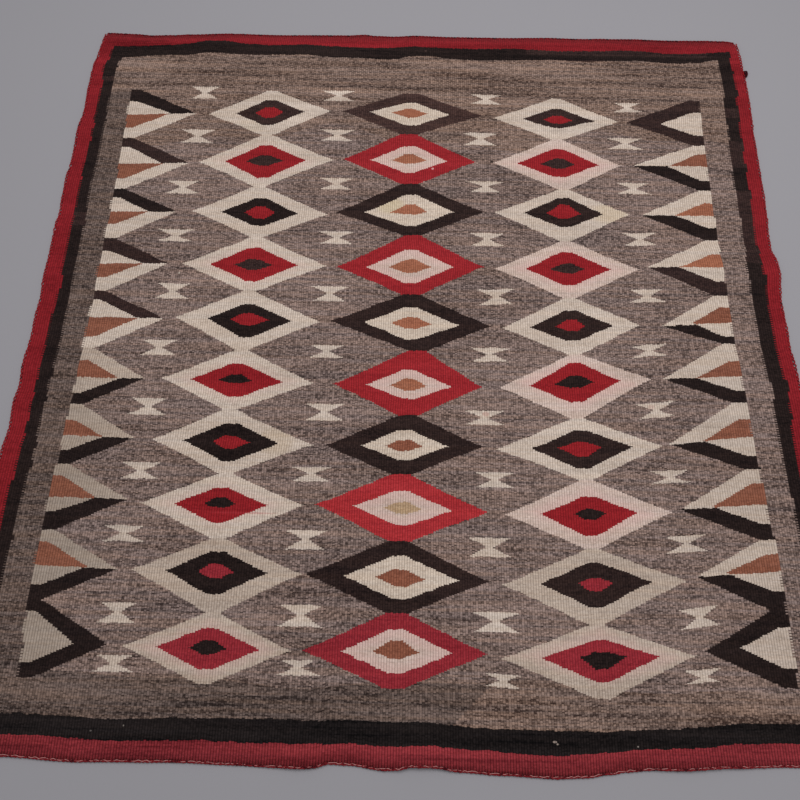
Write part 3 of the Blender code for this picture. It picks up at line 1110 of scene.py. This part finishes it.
@dataclass
class RugCloth:
    """The woven cloth, with its ribs and its coloured picks.

    Attributes:
        plan: its outline.
        chart: its colours.
        thickness: from underside to the top of a rib.
        furrow: how deep the furrow between two ribs is.
        end_taper: how much thinner the cloth is at its very ends.
        bake_margin: room round the flat layout for baked pictures.
    """

    plan: ClothPlan
    chart: Chart
    thickness: float = 3.0
    furrow: float = 0.62
    end_taper: float = 0.5
    bake_margin: float = 0.012

    def build(self) -> bpy.types.Object:
        """Builds the closed, ribbed sheet with its chart and maps.

        Returns:
            The cloth's object.
        """
        shape = bmesh.new()
        bmesh.ops.create_grid(
            shape, x_segments=2 * self.chart.ribs, y_segments=self.chart.rows, size=0.5
        )
        made = bmesh.ops.extrude_face_region(shape, geom=shape.faces[:])
        upper = [part for part in made["geom"] if isinstance(part, bmesh.types.BMVert)]
        bmesh.ops.translate(shape, verts=upper, vec=(0, 0, 1))
        bmesh.ops.recalc_face_normals(shape, faces=shape.faces[:])
        mesh = bpy.data.meshes.new("rug_cloth_woven")
        shape.to_mesh(mesh)
        shape.free()
        cloth = bpy.data.objects.new("rug_cloth_woven", mesh)
        bpy.context.scene.collection.objects.link(cloth)
        self.lay_out(mesh)
        mesh.materials.append(self.material())
        return cloth

    def lay_out(self, mesh: bpy.types.Mesh) -> None:
        """Moves the flat grid's points to their places and writes the maps and the chart."""
        flat = np.zeros(len(mesh.vertices) * 3)
        mesh.vertices.foreach_get("co", flat)
        flat = flat.reshape(-1, 3)
        across, along, side = flat[:, 0] + 0.5, flat[:, 1] + 0.5, flat[:, 2]
        self.write_maps(mesh, across, along, side)
        self.write_chart(mesh, across, along)
        x, y = self.plan.point(across, along)
        column = np.rint(across * 2 * self.chart.ribs).astype(int)
        sunk = np.where(column % 2 == 0, self.furrow, 0.0)
        sunk = sunk + np.where((along < TINY) | (along > 1 - TINY), self.end_taper, 0.0)
        height = np.where(side > 0.5, self.thickness - sunk, sunk) + self.plan.lift(x, y)
        shift_x, shift_y = self.plan.shift()
        placed = np.stack([x + shift_x, y + shift_y, height], axis=1) * MM
        mesh.vertices.foreach_set("co", placed.ravel())
        self.sharpen(mesh, column, side)
        mesh.update()

    def sharpen(self, mesh: bpy.types.Mesh, column: np.ndarray, side: np.ndarray) -> None:
        """Marks the furrows and the rim as creases, so that each rib is round on its own."""
        ends = np.zeros(len(mesh.edges) * 2, dtype=np.int32)
        mesh.edges.foreach_get("vertices", ends)
        first, second = ends.reshape(-1, 2).T
        furrow = (column[first] == column[second]) & (column[first] % 2 == 0)
        sharp = furrow & (side[first] == side[second])
        mesh.shade_smooth()
        marks = mesh.attributes.new("sharp_edge", "BOOLEAN", "EDGE")
        marks.data.foreach_set("value", sharp)

    def write_maps(
        self, mesh: bpy.types.Mesh, across: np.ndarray, along: np.ndarray, side: np.ndarray
    ) -> None:
        """Writes the weave map, in ribs and pairs of picks, and the flat layout for baking.

        Args:
            mesh: the cloth's mesh.
            across: each point's share of the width.
            along: each point's share of the length.
            side: 1 for points of the upper face and 0 for the underside.
        """
        corners = corner_points(mesh)
        u, v, top = across[corners], along[corners], side[corners]
        weave = mesh.uv_layers.new(name="weave")
        woven = np.stack([u * self.chart.ribs, v * self.chart.picks], axis=1)
        weave.data.foreach_set("uv", woven.ravel())
        room = 1 - 2 * self.bake_margin
        flat = np.stack([self.bake_margin + u * room, self.bake_margin + v * room], axis=1)
        faces = top.reshape(-1, 4)
        rim = np.repeat((faces.max(axis=1) - faces.min(axis=1)) > 0.5, 4) & (top < 0.5)
        for axis, share in ((0, u), (1, v)):
            flat[rim & (share < TINY), axis] -= self.bake_margin / 2
            flat[rim & (share > 1 - TINY), axis] += self.bake_margin / 2
        bake = mesh.uv_layers.new(name="OFBake")
        bake.data.foreach_set("uv", flat.ravel())

    def write_chart(self, mesh: bpy.types.Mesh, across: np.ndarray, along: np.ndarray) -> None:
        """Writes each face's part of the chart as attributes that the material reads."""
        corners = corner_points(mesh)
        rows = self.chart.rows
        u = across[corners].reshape(-1, 4).mean(axis=1)
        v = along[corners].reshape(-1, 4).mean(axis=1)
        rib = np.clip((u * self.chart.ribs).astype(int), 0, self.chart.ribs - 1)
        row = np.clip((v * rows).astype(int), 0, rows - 1)
        changes, yarns = (table[rib, row].astype(float) for table in self.chart.spans())
        joined, share = (table[rib, row].astype(float) for table in self.chart.joins())
        place, height = self.chart.red_rings()
        for name, numbers in (
            ("changes", changes[:, :3]),
            ("first_yarns", np.stack([changes[:, 3], yarns[:, 0], yarns[:, 1]], axis=1)),
            ("next_yarns", yarns[:, 2:5]),
            ("joined_yarn", np.stack([joined, share, height[rib, row]], axis=1)),
            ("red_ring", place[rib, row]),
        ):
            marks = mesh.attributes.new(name, "FLOAT_VECTOR", "FACE")
            marks.data.foreach_set("vector", numbers.astype(np.float32).ravel())

    def card(self, bench: Bench, yarn: Socket, end: str) -> Socket:
        """Looks a yarn's colour up on the colour card.

        Args:
            bench: where the material is built.
            yarn: the yarn's number.
            end: "dark" or "light", the end of the yarn's colour.

        Returns:
            The colour.
        """
        stops = {int(y): linear(getattr(tone, end)) for y, tone in YARN_CARD.items()}
        return self.ramp(bench, yarn, stops)

    def nature(self, bench: Bench, yarn: Socket, name: str) -> Socket:
        """Looks up how heathered a yarn is, or how readily it takes dye."""
        stops = {int(y): (getattr(tone, name),) * 3 + (1.0,) for y, tone in YARN_CARD.items()}
        return self.ramp(bench, yarn, stops)

    def ramp(self, bench: Bench, yarn: Socket, stops: dict[int, Sequence[float]]) -> Socket:
        """A colour ramp with one even step for each yarn."""
        share = bench.sum("MULTIPLY_ADD", yarn, 1 / len(stops), 0.5 / len(stops))
        node = bench.put("ValToRGB", Fac=share)
        node.color_ramp.interpolation = "CONSTANT"
        marks = node.color_ramp.elements
        marks[0].position, marks[0].color = 0.0, stops[0]
        marks.remove(marks[1])
        for number in range(1, len(stops)):
            marks.new(number / len(stops)).color = stops[number]
        return node.outputs["Color"]

    def read_yarn(self, bench: Bench, pick: Socket, row: Socket) -> Socket:
        """Reads the chart: the number of the yarn at a pick of this rib."""
        change_1, change_2, change_3 = bench.marks("changes")
        change_4, yarn_0, yarn_1 = bench.marks("first_yarns")
        yarn_2, yarn_3, yarn_4 = bench.marks("next_yarns")
        spans = bench.use(woven_spans_group(), Pick=pick, Change_1=change_1, Change_2=change_2,
                          Change_3=change_3, Change_4=change_4, Yarn_0=yarn_0, Yarn_1=yarn_1,
                          Yarn_2=yarn_2, Yarn_3=yarn_3, Yarn_4=yarn_4)
        joined, share, _ = bench.marks("joined_yarn")
        along_tooth = bench.sum("FRACT", bench.sum("MULTIPLY", row, 0.25))
        tooth = bench.sum("LESS_THAN", along_tooth, share)
        step = bench.sum("SUBTRACT", joined, spans.outputs["Yarn"])
        yarn = bench.sum("MULTIPLY_ADD", tooth, step, spans.outputs["Yarn"])
        return bench.sum("ROUND", yarn)

    def dye_run(self, bench: Bench, x: Socket, y: Socket) -> Socket:
        """How much loose red dye has run into the wool here, 0 to 1."""
        ring_x, ring_y, half_width = bench.marks("red_ring")
        half_height = bench.marks("joined_yarn")[2]
        aside = bench.sum("ABSOLUTE", bench.sum("SUBTRACT", x, ring_x))
        apart = bench.sum("ABSOLUTE", bench.sum("SUBTRACT", y, ring_y))
        width = bench.sum("MAXIMUM", half_width, 1.0)
        height = bench.sum("MAXIMUM", half_height, 1.0)
        around = bench.sum("ADD", bench.sum("DIVIDE", aside, width),
                           bench.sum("DIVIDE", apart, height))
        distance = bench.sum("MULTIPLY", bench.sum("SUBTRACT", around, 1.0), height)
        ragged = bench.sum("MULTIPLY_ADD", bench.noise(bench.vector(x, y), 0.05), 16.0, -8.0)
        run = bench.ease(bench.sum("ADD", bench.sum("ABSOLUTE", distance), ragged), 22.0, 0.0)
        return bench.sum("MULTIPLY", run, bench.sum("GREATER_THAN", half_height, 1.0))

    def stained_and_shaded(
        self, bench: Bench, colour: Socket, x: Socket, y: Socket, pale: Socket
    ) -> Socket:
        """Lays the stains and flecks over a colour, with the broad painted shade towards the
        near-left corner.
        """
        for stain_or_shade in STAINS_AND_SHADE:
            aside = bench.sum("DIVIDE", bench.sum("SUBTRACT", x, stain_or_shade.x), stain_or_shade.across)
            apart = bench.sum("DIVIDE", bench.sum("SUBTRACT", y, stain_or_shade.y), stain_or_shade.along)
            far = bench.sum("ADD", bench.sum("MULTIPLY", aside, aside),
                            bench.sum("MULTIPLY", apart, apart))
            share = bench.sum("MULTIPLY", bench.ease(far, 1.3, 0.2), stain_or_shade.strength)
            if stain_or_shade.pale_only:
                share = bench.sum("MULTIPLY", share, pale)
            colour = bench.blend(share, colour, linear(stain_or_shade.colour))
        return colour

    def material(self) -> bpy.types.Material:
        """Builds the material of the woven wool.

        Returns:
            The material.
        """
        made, bench, shader = new_material("woven wool")

        # Where a point lies on the weave and on the chart.
        weave = bench.put("UVMap", {"uv_map": "weave"})
        across, along, _ = bench.parts(weave.outputs["UV"])
        place = bench.put("TexCoord").outputs["Object"]
        object_x, object_y, _ = bench.parts(place)
        shift_x, shift_y = self.plan.shift()
        x = bench.sum("MULTIPLY_ADD", object_x, 1000.0, self.chart.middle_x - shift_x)
        y = bench.sum("MULTIPLY_ADD", object_y, 1000.0, self.chart.middle_y - shift_y)

        # Which bead of which yarn it is on.
        rib = bench.sum("FLOOR", across)
        over_rib = bench.sum("FRACT", across)
        odd = bench.sum("FLOORED_MODULO", rib, 2.0)
        pick = bench.sum("MULTIPLY_ADD", odd, 0.5, bench.sum("ADD", along, -0.25))
        bead = bench.sum("FLOOR", pick)
        over_bead = bench.sum("FRACT", pick)
        yarn = self.read_yarn(bench, pick, along)

        # How light the wool is there.
        heather = self.nature(bench, yarn, "heather")
        pale = self.nature(bench, yarn, "takes_dye")
        run = bench.sum("MULTIPLY", bead, 7.31)
        flecks = bench.noise(bench.vector(bench.sum("MULTIPLY", x, 0.6), run, odd), 1.0, 2.0, 0.7)
        few = bench.sum("MULTIPLY", bench.sum("FLOOR", bench.sum("DIVIDE", along, 2.0)), 5.17)
        lengths = bench.noise(bench.vector(bench.sum("MULTIPLY", x, 0.016), few), 1.0, 1.0)
        pair = bench.sum("FLOOR", bench.sum("MULTIPLY", pick, 0.5))
        single = bench.chance(rib, pair)
        bands = bench.noise(bench.vector(bench.sum("MULTIPLY", x, 0.0022),
                                         bench.sum("MULTIPLY", y, 0.04)), 1.0, 3.0, 0.6)
        streaks = bench.noise(bench.vector(bench.sum("MULTIPLY", x, 0.0045),
                                           bench.sum("MULTIPLY", y, 0.16), 3.0), 1.0, 2.0, 0.6)
        margin = bench.sum("ADD", bench.ease(y, 1170.0, 1260.0), bench.ease(y, 110.0, 60.0))
        clouds = bench.noise(place, 5.0, 3.0, 0.55)
        fibre = bench.use(wool_fibre_group(), Place=place, Scale=900.0)

        def swing(value: Socket, reach: float) -> Socket:
            """A number about 0 from one about 0.5."""
            return bench.sum("MULTIPLY_ADD", value, reach, -0.5 * reach)

        speckle = bench.sum("ADD", swing(flecks, 1.25), swing(single, 0.7))
        speckle = bench.sum("ADD", speckle, swing(lengths, 0.7))
        tone = bench.sum("MULTIPLY", speckle, bench.sum("MULTIPLY_ADD", heather, 0.75, 0.25))
        abrash = bench.sum("MULTIPLY_ADD", margin, 1.2, 0.8)
        tone = bench.sum("MULTIPLY_ADD", swing(bands, 0.85), abrash, tone)
        dark_streak = bench.sum("MULTIPLY", bench.ease(streaks, 0.55, 0.7), -0.15)
        tone = bench.sum("MULTIPLY_ADD", dark_streak, abrash, tone)
        tone = bench.sum("ADD", tone, swing(clouds, 0.35))
        tone = bench.sum("ADD", tone, swing(fibre.outputs["Tone"], 0.5))
        tone = bench.sum("ADD", tone, 0.5, clamp=True)
        colour = bench.blend(tone, self.card(bench, yarn, "dark"), self.card(bench, yarn, "light"))

        # Its hue, its loose dye, its stains and the painted shade towards its near-left corner.
        cool, warm = (0.955, 0.995, 1.03, 1.0), (1.045, 1.0, 0.93, 1.0)
        hue = bench.blend(bench.ease(streaks, 0.35, 0.65), warm, cool)
        colour = bench.blend(heather, colour, bench.blend(1.0, colour, hue, "MULTIPLY"))

        dye = bench.sum("MULTIPLY", self.dye_run(bench, x, y), pale)
        colour = bench.blend(bench.sum("MULTIPLY", dye, 0.42), colour, linear((228, 184, 178)))
        colour = self.stained_and_shaded(bench, colour, x, y, pale)

        # Painted shade: the colour is darkened in the furrows between ribs and the gaps between
        # beads, more so at the near end.
        edge = bench.sum("ABSOLUTE", bench.sum("MULTIPLY_ADD", over_rib, 2.0, -1.0))
        furrow = bench.sum("POWER", edge, 2.4)
        gap = bench.sum("POWER", bench.sum("ABSOLUTE", bench.sum("MULTIPLY_ADD", over_bead, 2.0,
                                                                 -1.0)), 4.0)
        # How strong the painted furrow shade is, stronger at the near end.
        painted_shade_depth = bench.sum("MULTIPLY_ADD", bench.ease(y, 30.0, 0.0), 0.2, 0.46)
        shade = bench.sum("SUBTRACT", 1.0, bench.sum("MULTIPLY", furrow, painted_shade_depth))
        shade = bench.sum("SUBTRACT", shade, bench.sum("MULTIPLY", gap, 0.12))
        colour = bench.blend(1.0, colour, bench.vector(shade, shade, shade), "MULTIPLY")
        bench.feed(shader.inputs["Base Color"], colour)

        # Its relief.
        round_rib = bench.sum("SUBTRACT", 1.0, bench.sum("POWER", edge, 2.0))
        round_bead = bench.sum("SUBTRACT", 1.0, gap)
        height = bench.sum("MULTIPLY", round_rib, round_bead)
        height = bench.sum("MULTIPLY_ADD", fibre.outputs["Height"], 0.25, height)
        bump = bench.put("Bump", Strength=0.6, Distance=0.0004, Height=height)
        bench.feed(shader.inputs["Normal"], bump.outputs["Normal"])
        shader.inputs["Sheen Weight"].default_value = 0.02
        return made


@dataclass(frozen=True)
class CordFinish:
    """The wool of a twined cord.

    Attributes:
        name: the material's name.
        main: its main colour, out of 255.
        dark: the colour of its darker stretches.
        dark_share: how much of the darker colour shows, 0 to 1.
        patch: how long its stretches are, in millimetres.
        lacing: the colour of a thin thread laced along it, if it has one.
    """

    name: str
    main: Colour
    dark: Colour
    dark_share: float
    patch: float
    lacing: Colour | None = None

    @cache
    def material(self) -> bpy.types.Material:
        """Builds the cord's material."""
        made, bench, shader = new_material(self.name)
        place = bench.put("TexCoord").outputs["Object"]
        patches = bench.noise(place, 1000.0 / self.patch, 2.0, 0.6)
        fibre = bench.use(wool_fibre_group(), Place=place, Scale=1100.0)
        edge = 0.72 - 0.44 * self.dark_share
        share = bench.ease(patches, edge, edge + 0.08)
        colour = bench.blend(share, linear(self.main), linear(self.dark))
        if self.lacing:
            laced = bench.put("Attribute", {"attribute_name": "lacing"})
            worn = bench.sum("MULTIPLY", laced.outputs["Fac"], bench.ease(patches, 0.56, 0.44))
            colour = bench.blend(worn, colour, linear(self.lacing))
        light = bench.sum("MULTIPLY_ADD", fibre.outputs["Tone"], 0.9, 0.55)
        colour = bench.blend(1.0, colour, bench.vector(light, light, light), "MULTIPLY")
        bench.feed(shader.inputs["Base Color"], colour)
        bump = bench.put("Bump", Strength=0.5, Distance=0.0003, Height=fibre.outputs["Height"])
        bench.feed(shader.inputs["Normal"], bump.outputs["Normal"])
        return made


SIDE_CORD = CordFinish("red side cord wool", (136, 29, 35), (84, 18, 24), 0.28, 8.0)
END_CORD = CordFinish("maroon end cord wool", (112, 24, 30), (56, 14, 19), 0.42, 8.0)
LACED_CORD = CordFinish("laced maroon cord wool", (122, 32, 38), (74, 20, 26), 0.42, 7.0,
                        (178, 124, 122))
TUFT_WOOL = CordFinish("maroon tuft wool", (62, 16, 22), (30, 14, 17), 0.5, 2.5)


@dataclass
class EdgeCord:
    """Two strands twined along one edge of the cloth, with or without a thread laced on them.

    Attributes:
        plan: the cloth's outline.
        edge: the edge that the cord follows.
        node: the solid that it stands for.
        slot: the record's material slot; not used.
        finish: its wool.
        strand: one strand's diameter.
        twist: how far outwards a strand swings from the middle line.
        rise: how far upwards it swings.
        pitch: the length of one turn.
        turn_steps: how many points one turn has.
        lacing_pitch: the length of one zigzag of the laced thread.
        seat: from the cloth's edge to the cord's middle line.
        seed: start of the cord's unevenness.
    """

    plan: ClothPlan
    edge: Edge
    node: str
    slot: str
    finish: CordFinish
    strand: float = 2.2
    twist: float = 2.1
    rise: float = 0.65
    pitch: float = 15.0
    turn_steps: int = 12
    lacing_pitch: float = 15.0
    seat: float = 1.7
    seed: int = 1

    def middle_line(self) -> tuple[np.ndarray, np.ndarray, np.ndarray]:
        """The cord's middle line in plan, evenly stepped.

        Returns:
            Its points, the outward direction at each, and the length along it.
        """
        line = self.plan.edge_line(self.edge, 3000)
        ahead = np.gradient(line, axis=0)
        ahead /= np.linalg.norm(ahead, axis=1)[:, None]
        out = np.stack([ahead[:, 1], -ahead[:, 0]], axis=1)
        if self.edge in (Edge.LEFT, Edge.FAR):
            out = -out
        line = line + out * self.seat
        gone = np.concatenate([[0], np.cumsum(np.linalg.norm(np.diff(line, axis=0), axis=1))])
        even = np.arange(0.0, gone[-1], self.pitch / self.turn_steps)
        points = np.stack([np.interp(even, gone, line[:, k]) for k in (0, 1)], axis=1)
        outs = np.stack([np.interp(even, gone, out[:, k]) for k in (0, 1)], axis=1)
        return points, outs, even

    def build(self) -> bpy.types.Object:
        """Builds the strands as one piece.

        Returns:
            The cord's object.
        """
        random = np.random.default_rng(self.seed)
        points, out, gone = self.middle_line()
        middle = self.plan.lift(points[:, 0], points[:, 1]) + self.strand / 2 + self.rise + 0.1
        stray = np.interp(gone, gone[::9], random.normal(0, 0.7, len(gone[::9])))
        swell = 1 + 0.25 * np.interp(gone, gone[::5], random.normal(0, 1, len(gone[::5])))
        turn = gone * 2 * math.pi / self.pitch + stray
        strands = [
            (self.twist * swell * np.cos(turn + start), self.rise * np.sin(turn + start), 1.0)
            for start in (0.0, math.pi)
        ]
        if self.finish.lacing:
            zigzag = np.sin(gone * 2 * math.pi / self.lacing_pitch + 2 * stray) * 0.7 * swell - 0.9
            strands.append((zigzag, np.full_like(gone, self.strand / 2 + self.rise), 0.42))
        curve = new_curve(self.node, self.strand, 1)
        shift = np.array(self.plan.shift())
        for outwards, upwards, thickness in strands:
            flat = points + out * outwards[:, None] + shift
            path = np.column_stack([flat, middle + upwards]) * MM
            strand = curve.splines.new("POLY")
            strand.points.add(len(path) - 1)
            strand.points.foreach_set("co", np.column_stack([path, np.ones(len(path))]).ravel())
            strand.points.foreach_set("radius", np.full(len(path), thickness))
        cord = as_mesh(curve, self.node + "_twined")
        if self.finish.lacing:
            self.mark_lacing(cord.data)
        cord.data.materials.append(self.finish.material())
        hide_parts(self.node)
        return cord

    def mark_lacing(self, mesh: bpy.types.Mesh) -> None:
        """Marks the points of the laced thread, the last of the three strands."""
        marks = mesh.attributes.new("lacing", "FLOAT", "POINT")
        share = len(mesh.vertices) // 3
        laced = np.arange(len(mesh.vertices)) >= 2 * share
        marks.data.foreach_set("value", laced.astype(np.float32))


def new_curve(name: str, diameter: float, resolution: int) -> bpy.types.Curve:
    """Starts a round curve with closed ends.

    Args:
        name: its name.
        diameter: its diameter in millimetres.
        resolution: how finely it is rounded.

    Returns:
        The curve, as yet without a spline.
    """
    curve = bpy.data.curves.new(name, "CURVE")
    curve.dimensions = "3D"
    curve.bevel_depth = diameter / 2 * MM
    curve.bevel_resolution = resolution
    curve.use_fill_caps = True
    return curve


def as_mesh(curve: bpy.types.Curve, name: str) -> bpy.types.Object:
    """Turns a curve into a smooth mesh object that lies at the origin.

    Args:
        curve: the curve with its bevel.
        name: the object's name.

    Returns:
        The object.
    """
    guide = bpy.data.objects.new(name + "_guide", curve)
    bpy.context.scene.collection.objects.link(guide)
    made = guide.evaluated_get(bpy.context.evaluated_depsgraph_get())
    mesh = bpy.data.meshes.new_from_object(made)
    bpy.data.objects.remove(guide)
    mesh.materials.clear()
    mesh.name = name
    mesh.shade_smooth()
    piece = bpy.data.objects.new(name, mesh)
    bpy.context.scene.collection.objects.link(piece)
    return piece


@dataclass
class YarnEnd:
    """The bow of yarn that sticks out of the right side near the far end.

    Attributes:
        strands: how many loops of yarn show.
        strand: a loop's diameter.
    """

    strands: int = 4
    strand: float = 2.0

    def build(self) -> bpy.types.Object:
        """Builds the small loops where the solid yarn end lies."""
        low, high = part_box("yarn_end")
        curve = new_curve("yarn_end", self.strand, 2)
        foot = low.x - 0.8 * MM
        middle = (low.y + high.y) / 2
        half = (high.y - low.y) / 2 - self.strand * MM
        for number in range(self.strands):
            lean = number / (self.strands - 1) - 0.5
            reach = (high.x - foot - self.strand / 2 * MM) * (1 - 0.35 * abs(lean))
            rise = (0.9 + 1.3 * number) * MM + low.z
            strand = curve.splines.new("BEZIER")
            strand.bezier_points.add(2)
            ends = (
                (foot, middle - half * (0.9 - 0.5 * number / self.strands), low.z + MM),
                (foot + reach, middle + half * 0.7 * lean, rise),
                (foot, middle + half * (0.4 + 0.5 * number / self.strands), low.z + MM),
            )
            for point, place in zip(strand.bezier_points, ends):
                point.co = place
                point.handle_left_type = point.handle_right_type = "AUTO"
        piece = as_mesh(curve, "yarn_end_loops")
        piece.data.materials.append(TUFT_WOOL.material())
        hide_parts("yarn_end")
        return piece


@dataclass
class Setting:
    """The floor, the light and the camera, none of which is part of the rug.

    Attributes:
        camera_height: the camera's height over the floor.
        camera_foot: the point of the chart under the camera.
        pitch: how far the camera looks below the horizon, in degrees.
        yaw: how far it looks to the left of straight ahead, in degrees.
        roll: how far it is turned about its line of sight, in radians.
        lens: its focal length in millimetres, on a 36 mm wide sensor.
    """

    camera_height: float = 1283.0
    camera_foot: tuple[float, float] = (0.0, 0.0)
    pitch: float = 66.787
    yaw: float = 0.313
    roll: float = 0.0155
    lens: float = 36.0

    def build_camera(self, chart: Chart) -> None:
        """Sets the camera where the photographer held theirs."""
        pitch, yaw = math.radians(self.pitch), math.radians(self.yaw)
        right = Vector((math.cos(yaw), math.sin(yaw), 0))
        level = Vector((-math.sin(yaw), math.cos(yaw), 0))
        ahead = level * math.cos(pitch) - Vector((0, 0, math.sin(pitch)))
        up = level * math.sin(pitch) + Vector((0, 0, math.cos(pitch)))
        turned_right = right * math.cos(self.roll) + up * math.sin(self.roll)
        turned_up = up * math.cos(self.roll) - right * math.sin(self.roll)
        shift_x, shift_y = chart.plan.shift()
        place = Vector((self.camera_foot[0] - chart.middle_x + shift_x,
                        self.camera_foot[1] - chart.middle_y + shift_y, self.camera_height)) * MM
        camera = bpy.data.objects.new("camera", bpy.data.cameras.new("camera"))
        bpy.context.scene.collection.objects.link(camera)
        turned = Matrix((turned_right, turned_up, -ahead)).transposed().to_4x4()
        camera.matrix_world = Matrix.Translation(place) @ turned
        camera.data.sensor_width = 36.0
        camera.data.lens = self.lens
        camera.data.clip_start = 0.01
        bpy.context.scene.camera = camera

    def build_floor(self) -> bpy.types.Object:
        """Lays the plain pale floor."""
        shape = bmesh.new()
        bmesh.ops.create_grid(shape, x_segments=1, y_segments=1, size=6.0)
        mesh = bpy.data.meshes.new("floor")
        shape.to_mesh(mesh)
        shape.free()
        floor = bpy.data.objects.new("floor", mesh)
        floor.location.z = -0.0002
        bpy.context.scene.collection.objects.link(floor)
        material, _, shader = new_material("pale floor", 0.9, 0.15)
        shader.inputs["Base Color"].default_value = linear((149, 147, 152))
        mesh.materials.append(material)
        return floor

    def build_light(self) -> None:
        """Hangs a soft, even light over the floor."""
        scene = bpy.context.scene
        scene.view_settings.view_transform = "Standard"
        world = bpy.data.worlds.new("soft daylight")
        world.use_nodes = True
        sky = world.node_tree.nodes["Background"]
        sky.inputs["Color"].default_value = (0.97, 0.985, 1.0, 1.0)
        sky.inputs["Strength"].default_value = 0.485
        scene.world = world
        lamp = bpy.data.lights.new("window", "AREA")
        lamp.shape = "RECTANGLE"
        lamp.size, lamp.size_y = 2.4, 1.8
        lamp.energy = 40.0
        lamp.color = (1.0, 0.985, 0.965)
        light = bpy.data.objects.new("window", lamp)
        light.location = (0.34, 0.54, 2.3)
        aim = Vector((0.05, 0.05, 0)) - light.location
        light.rotation_mode = "QUATERNION"
        light.rotation_quaternion = aim.to_track_quat("-Z", "Y")
        scene.collection.objects.link(light)


def report(piece: bpy.types.Object) -> None:
    """Logs a finished piece and how many triangles it has."""
    triangles = sum(len(face.vertices) - 2 for face in piece.data.polygons)
    log.info("%s: %d triangles", piece.name, triangles)


def write_sizes() -> None:
    """Brings the scene's placements up to date."""
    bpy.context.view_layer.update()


def main() -> None:
    """Builds the rug's pieces in order, then the setting."""
    logging.basicConfig(level=logging.INFO, format="%(message)s")
    plan = ClothPlan()
    chart = Chart(plan)
    cloth = RugCloth(plan, chart).build()
    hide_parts("rug_cloth")
    edges = [
        EdgeCord(plan, Edge.LEFT, "side_cord_left", "maroon_cord_yarn", SIDE_CORD, seed=1),
        EdgeCord(plan, Edge.RIGHT, "side_cord_right", "maroon_cord_yarn", SIDE_CORD, seed=2),
        EdgeCord(plan, Edge.NEAR, "end_cord_near", "pale_cord_yarn", LACED_CORD, twist=0.8,
                 pitch=13.0, seed=3),
        EdgeCord(plan, Edge.FAR, "end_cord_far", "maroon_cord_yarn", END_CORD, twist=0.8,
                 seed=4),
    ]
    trims = [edge.build() for edge in edges]
    trims.append(YarnEnd().build())
    for piece in (cloth, *trims):
        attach(piece, "root")
        report(piece)
    setting = Setting()
    floor = setting.build_floor()
    setting.build_light()
    setting.build_camera(chart)
    write_sizes()


if __name__ == "__main__":
    main()
